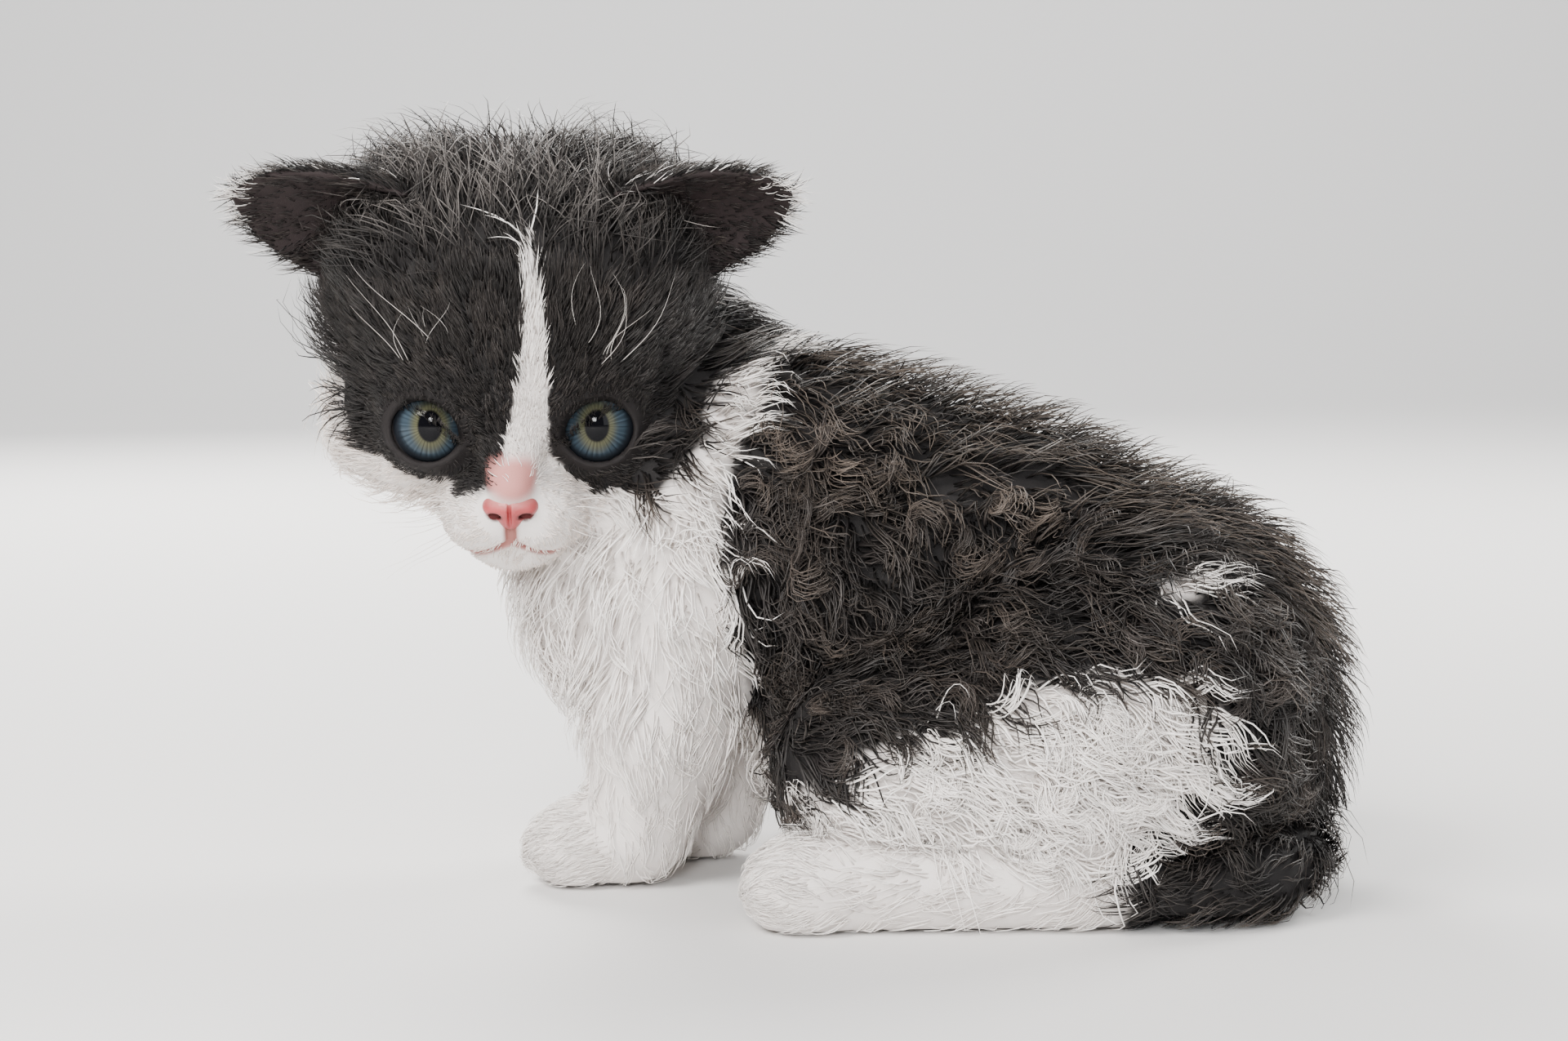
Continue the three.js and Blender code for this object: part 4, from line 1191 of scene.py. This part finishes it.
def make_nose(material):
    centre = head_point((28, 0, -12))
    places, quads = polygons(nose_field, centre - NOSE_REACH, centre + NOSE_REACH, NOSE_CELL)
    quads = facing_out(places, quads, nose_field)
    places = settle(nose_field, places, 2, 0.3)
    q = into_head(places)
    tone = 0.88 + 0.12 * ripple(places, 0.9)
    # The dark red in the nostrils' holes is painted shade.
    dark = ramp(1.5, 0.9, from_middle(both_sides(q), (NOSTRIL, (2.4, 1.1, 0.7))))
    colours = mix(NOSE_PINK * tone[:, None], NOSTRIL_SHADE, dark[:, None])
    colours = mix(colours, PINK_SKIN * 1.05, ramp(-11.4, -9.2, q[:, 2])[:, None])
    piece = mesh_object("nose_leather", places, quads.tolist(), colours)
    piece.data.materials.append(material)
    return piece


# Long single hairs: brow hairs and whiskers.
HAIR_STEPS = 16
BROW_HAIRS = 8
WHISKER_ROWS, WHISKERS_IN_ROW = 3, 4


def hair_piece(name, routes, thickness, colour, material):
    rings = routes.shape[1] - 1
    normal = unit(routes[:, 1] - routes[:, 0])
    normal = unit(np.cross(normal, np.array([0.1, 0.2, 1.0])))
    verts, one = tube_mesh(routes, normal, np.full(len(routes), thickness), rings)
    colours = np.tile(np.array(colour), (*verts.shape[:2], 1))
    uv_root = bake_places(routes[:, 0], normal, np.full(len(routes), FORM_INDEX["head"]))
    return coat_piece(name, verts, one, colours, uv_root, material)


def long_hairs(material):
    """Brow hairs that rise and sway, and whiskers in rows that sag."""
    t = np.linspace(0, 1, HAIR_STEPS)
    brows, whiskers = [], []
    for side in (LEFT, RIGHT):
        for k in range(BROW_HAIRS):
            ahead, above = 15.5 + rng.uniform(-1, 1), 4.5 + rng.uniform(-1.5, 2.5)
            root = np.array([ahead, -side * (7.5 + 1.3 * k), above])
            reach = rng.uniform(14, 28)
            lean = np.array([0.25, -side * rng.uniform(-0.2, 0.7), 1.0])
            swing = rng.uniform(1.2, 3.4)
            phase = rng.uniform(0, 6.28)
            local = (
                root
                + np.outer(t * reach, unit(lean))
                + np.outer(swing * (np.sin(5.0 * t + phase) - math.sin(phase)) * t, (0.1, 1, 0))
                + np.outer(2.2 * np.sin(math.pi * t), (1, 0, 0))
            )
            brows.append(head_point(local))
        for row in range(WHISKER_ROWS):
            for k in range(WHISKERS_IN_ROW):
                root = np.array([25.5 - 1.6 * k, -side * (5.2 + 1.1 * k), -14.6 - 1.9 * row])
                reach = rng.uniform(11, 19)
                rise = 0.1 - 0.22 * row + rng.uniform(-0.15, 0.15)
                lean = np.array([0.35 - 0.2 * k, -side, rise])
                sag = rng.uniform(1.5, 4.0)
                local = (
                    root
                    + np.outer(t * reach, unit(lean))
                    - np.outer(sag * t**2, (0.4, 0, 1))
                    + np.outer(0.7 * np.sin(7 * t + row) * t, (0, 0.3, 1))
                )
                whiskers.append(head_point(local))
    return [
        hair_piece("brow_hairs", np.array(brows), 0.06, (0.72, 0.68, 0.64), material),
        hair_piece("whiskers", np.array(whiskers), 0.07, (0.85, 0.80, 0.76), material),
    ]


# Stage, lights and camera
def make_stage():
    """A floor that curves up into the backdrop, square to the camera. Its sizes are in metres."""
    near, flat, bend, high, wide, sink = -3.0, 1.3, 1.2, 3.0, 4.0, 0.0002
    quarter = np.linspace(0, math.pi / 2, 25)
    arc = [(flat + bend * math.sin(a), bend * (1 - math.cos(a))) for a in quarter]
    outline = [(near, 0.0), *arc, (flat + bend, high)]
    azimuth = math.radians(CAMERA["azimuth"])
    right = Vector((math.cos(azimuth), math.sin(azimuth), 0))
    away = Vector((-math.sin(azimuth), math.cos(azimuth), 0))
    places = [
        right * side + away * y + Vector((0, 0, z - sink)) for y, z in outline for side in (-wide, wide)
    ]
    faces = [(2 * i, 2 * i + 1, 2 * i + 3, 2 * i + 2) for i in range(len(outline) - 1)]
    mesh = bpy.data.meshes.new("floor")
    mesh.from_pydata(places, [], faces)
    mesh.shade_smooth()
    mesh.materials.append(plain("floor_finish", (0.74, 0.73, 0.72), 0.7))
    floor = link_object("floor", mesh)


def area_light(name, place, energy, size, colour, target):
    data = bpy.data.lights.new(name, "AREA")
    data.energy, data.size, data.color = energy, size, colour
    light = link_object(name, data)
    light.location = place
    light.rotation_euler = (Vector(target) - Vector(place)).to_track_quat("-Z", "Y").to_euler()


def make_lights():
    world = bpy.data.worlds.new("studio")
    bpy.context.scene.world = world
    world.use_nodes = True
    background = world.node_tree.nodes["Background"]
    background.inputs["Color"].default_value = (0.86, 0.88, 0.92, 1)
    background.inputs["Strength"].default_value = 0.38
    middle = (0, 0, 0.06)
    area_light("key", (-0.35, -0.75, 0.75), 20, 0.5, (1, 0.97, 0.94), middle)
    area_light("fill", (0.75, -0.55, 0.35), 3, 0.6, (0.94, 0.97, 1), middle)
    area_light("catch", (0.08, -0.62, 0.26), 3.4, 0.13, (1, 1, 1), middle)
    area_light("backdrop", (-0.2, 0.9, 1.6), 45, 1.2, (1, 1, 1), (-0.5, 2.4, 0.7))
    area_light("rim_left", (-0.45, 0.75, 0.55), 14, 0.4, (1, 0.98, 0.95), middle)
    area_light("rim_right", (0.65, 0.65, 0.5), 13, 0.4, (1, 0.98, 0.95), middle)


def make_camera():
    data = bpy.data.cameras.new("camera")
    data.sensor_fit = "HORIZONTAL"
    data.sensor_width = CAMERA["sensor"]
    data.lens = CAMERA["focal"] * CAMERA["sensor"] / CAMERA["wide"]
    data.clip_start = 0.01
    camera = link_object("camera", data)
    azimuth, pitch = math.radians(CAMERA["azimuth"]), math.radians(CAMERA["pitch"])
    camera.rotation_euler = (math.pi / 2 - pitch, 0, azimuth)
    camera.location = Vector(to_row(CAMERA_AT[None])[0])
    bpy.context.scene.camera = camera


FLESH = [
    "head", "neck", "torso", "tail", "ear_left", "ear_right",
    "foreleg_left", "foreleg_right", "hind_leg_left", "hind_leg_right",
]


def own(piece, slot, *nodes):
    """Puts a piece on the root body, in place of the nodes that it dresses. The slot is not used."""
    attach(piece, "root")
    if nodes:
        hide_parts(*nodes)


def main():
    skin_finish = tinted("skin_finish", 0.75, 0.25, bump=0.35)
    coat_finish = tinted("coat_finish", 0.48, 0.32)
    eye_finish = tinted("eye_finish", 0.35, 0.0, coat=0.28)
    wet_finish = tinted("nose_finish", 0.38, 0.5, coat=0.25, bump=0.3, bump_scale=2200.0)
    skin, places = make_skin()
    skin.data.materials.append(skin_finish)
    own(skin, "white_coat", *FLESH)
    skin.data.calc_loop_triangles()
    index = np.zeros(len(skin.data.loop_triangles) * 3, np.int32)
    skin.data.loop_triangles.foreach_get("vertices", index)
    triangles = places[index.reshape(-1, 3)]
    for piece in grow_coat(triangles, coat_finish):
        own(piece, "black_coat")
    for side, word in SIDE_WORDS:
        eye = make_eye(side, "eyeball_" + word)
        eye.data.materials.append(eye_finish)
        own(eye, "eye", "eye_" + word)
    own(make_nose(wet_finish), "nose_skin")
    for piece in long_hairs(coat_finish):
        own(piece, "white_coat")
    make_stage()
    make_lights()
    make_camera()


main()
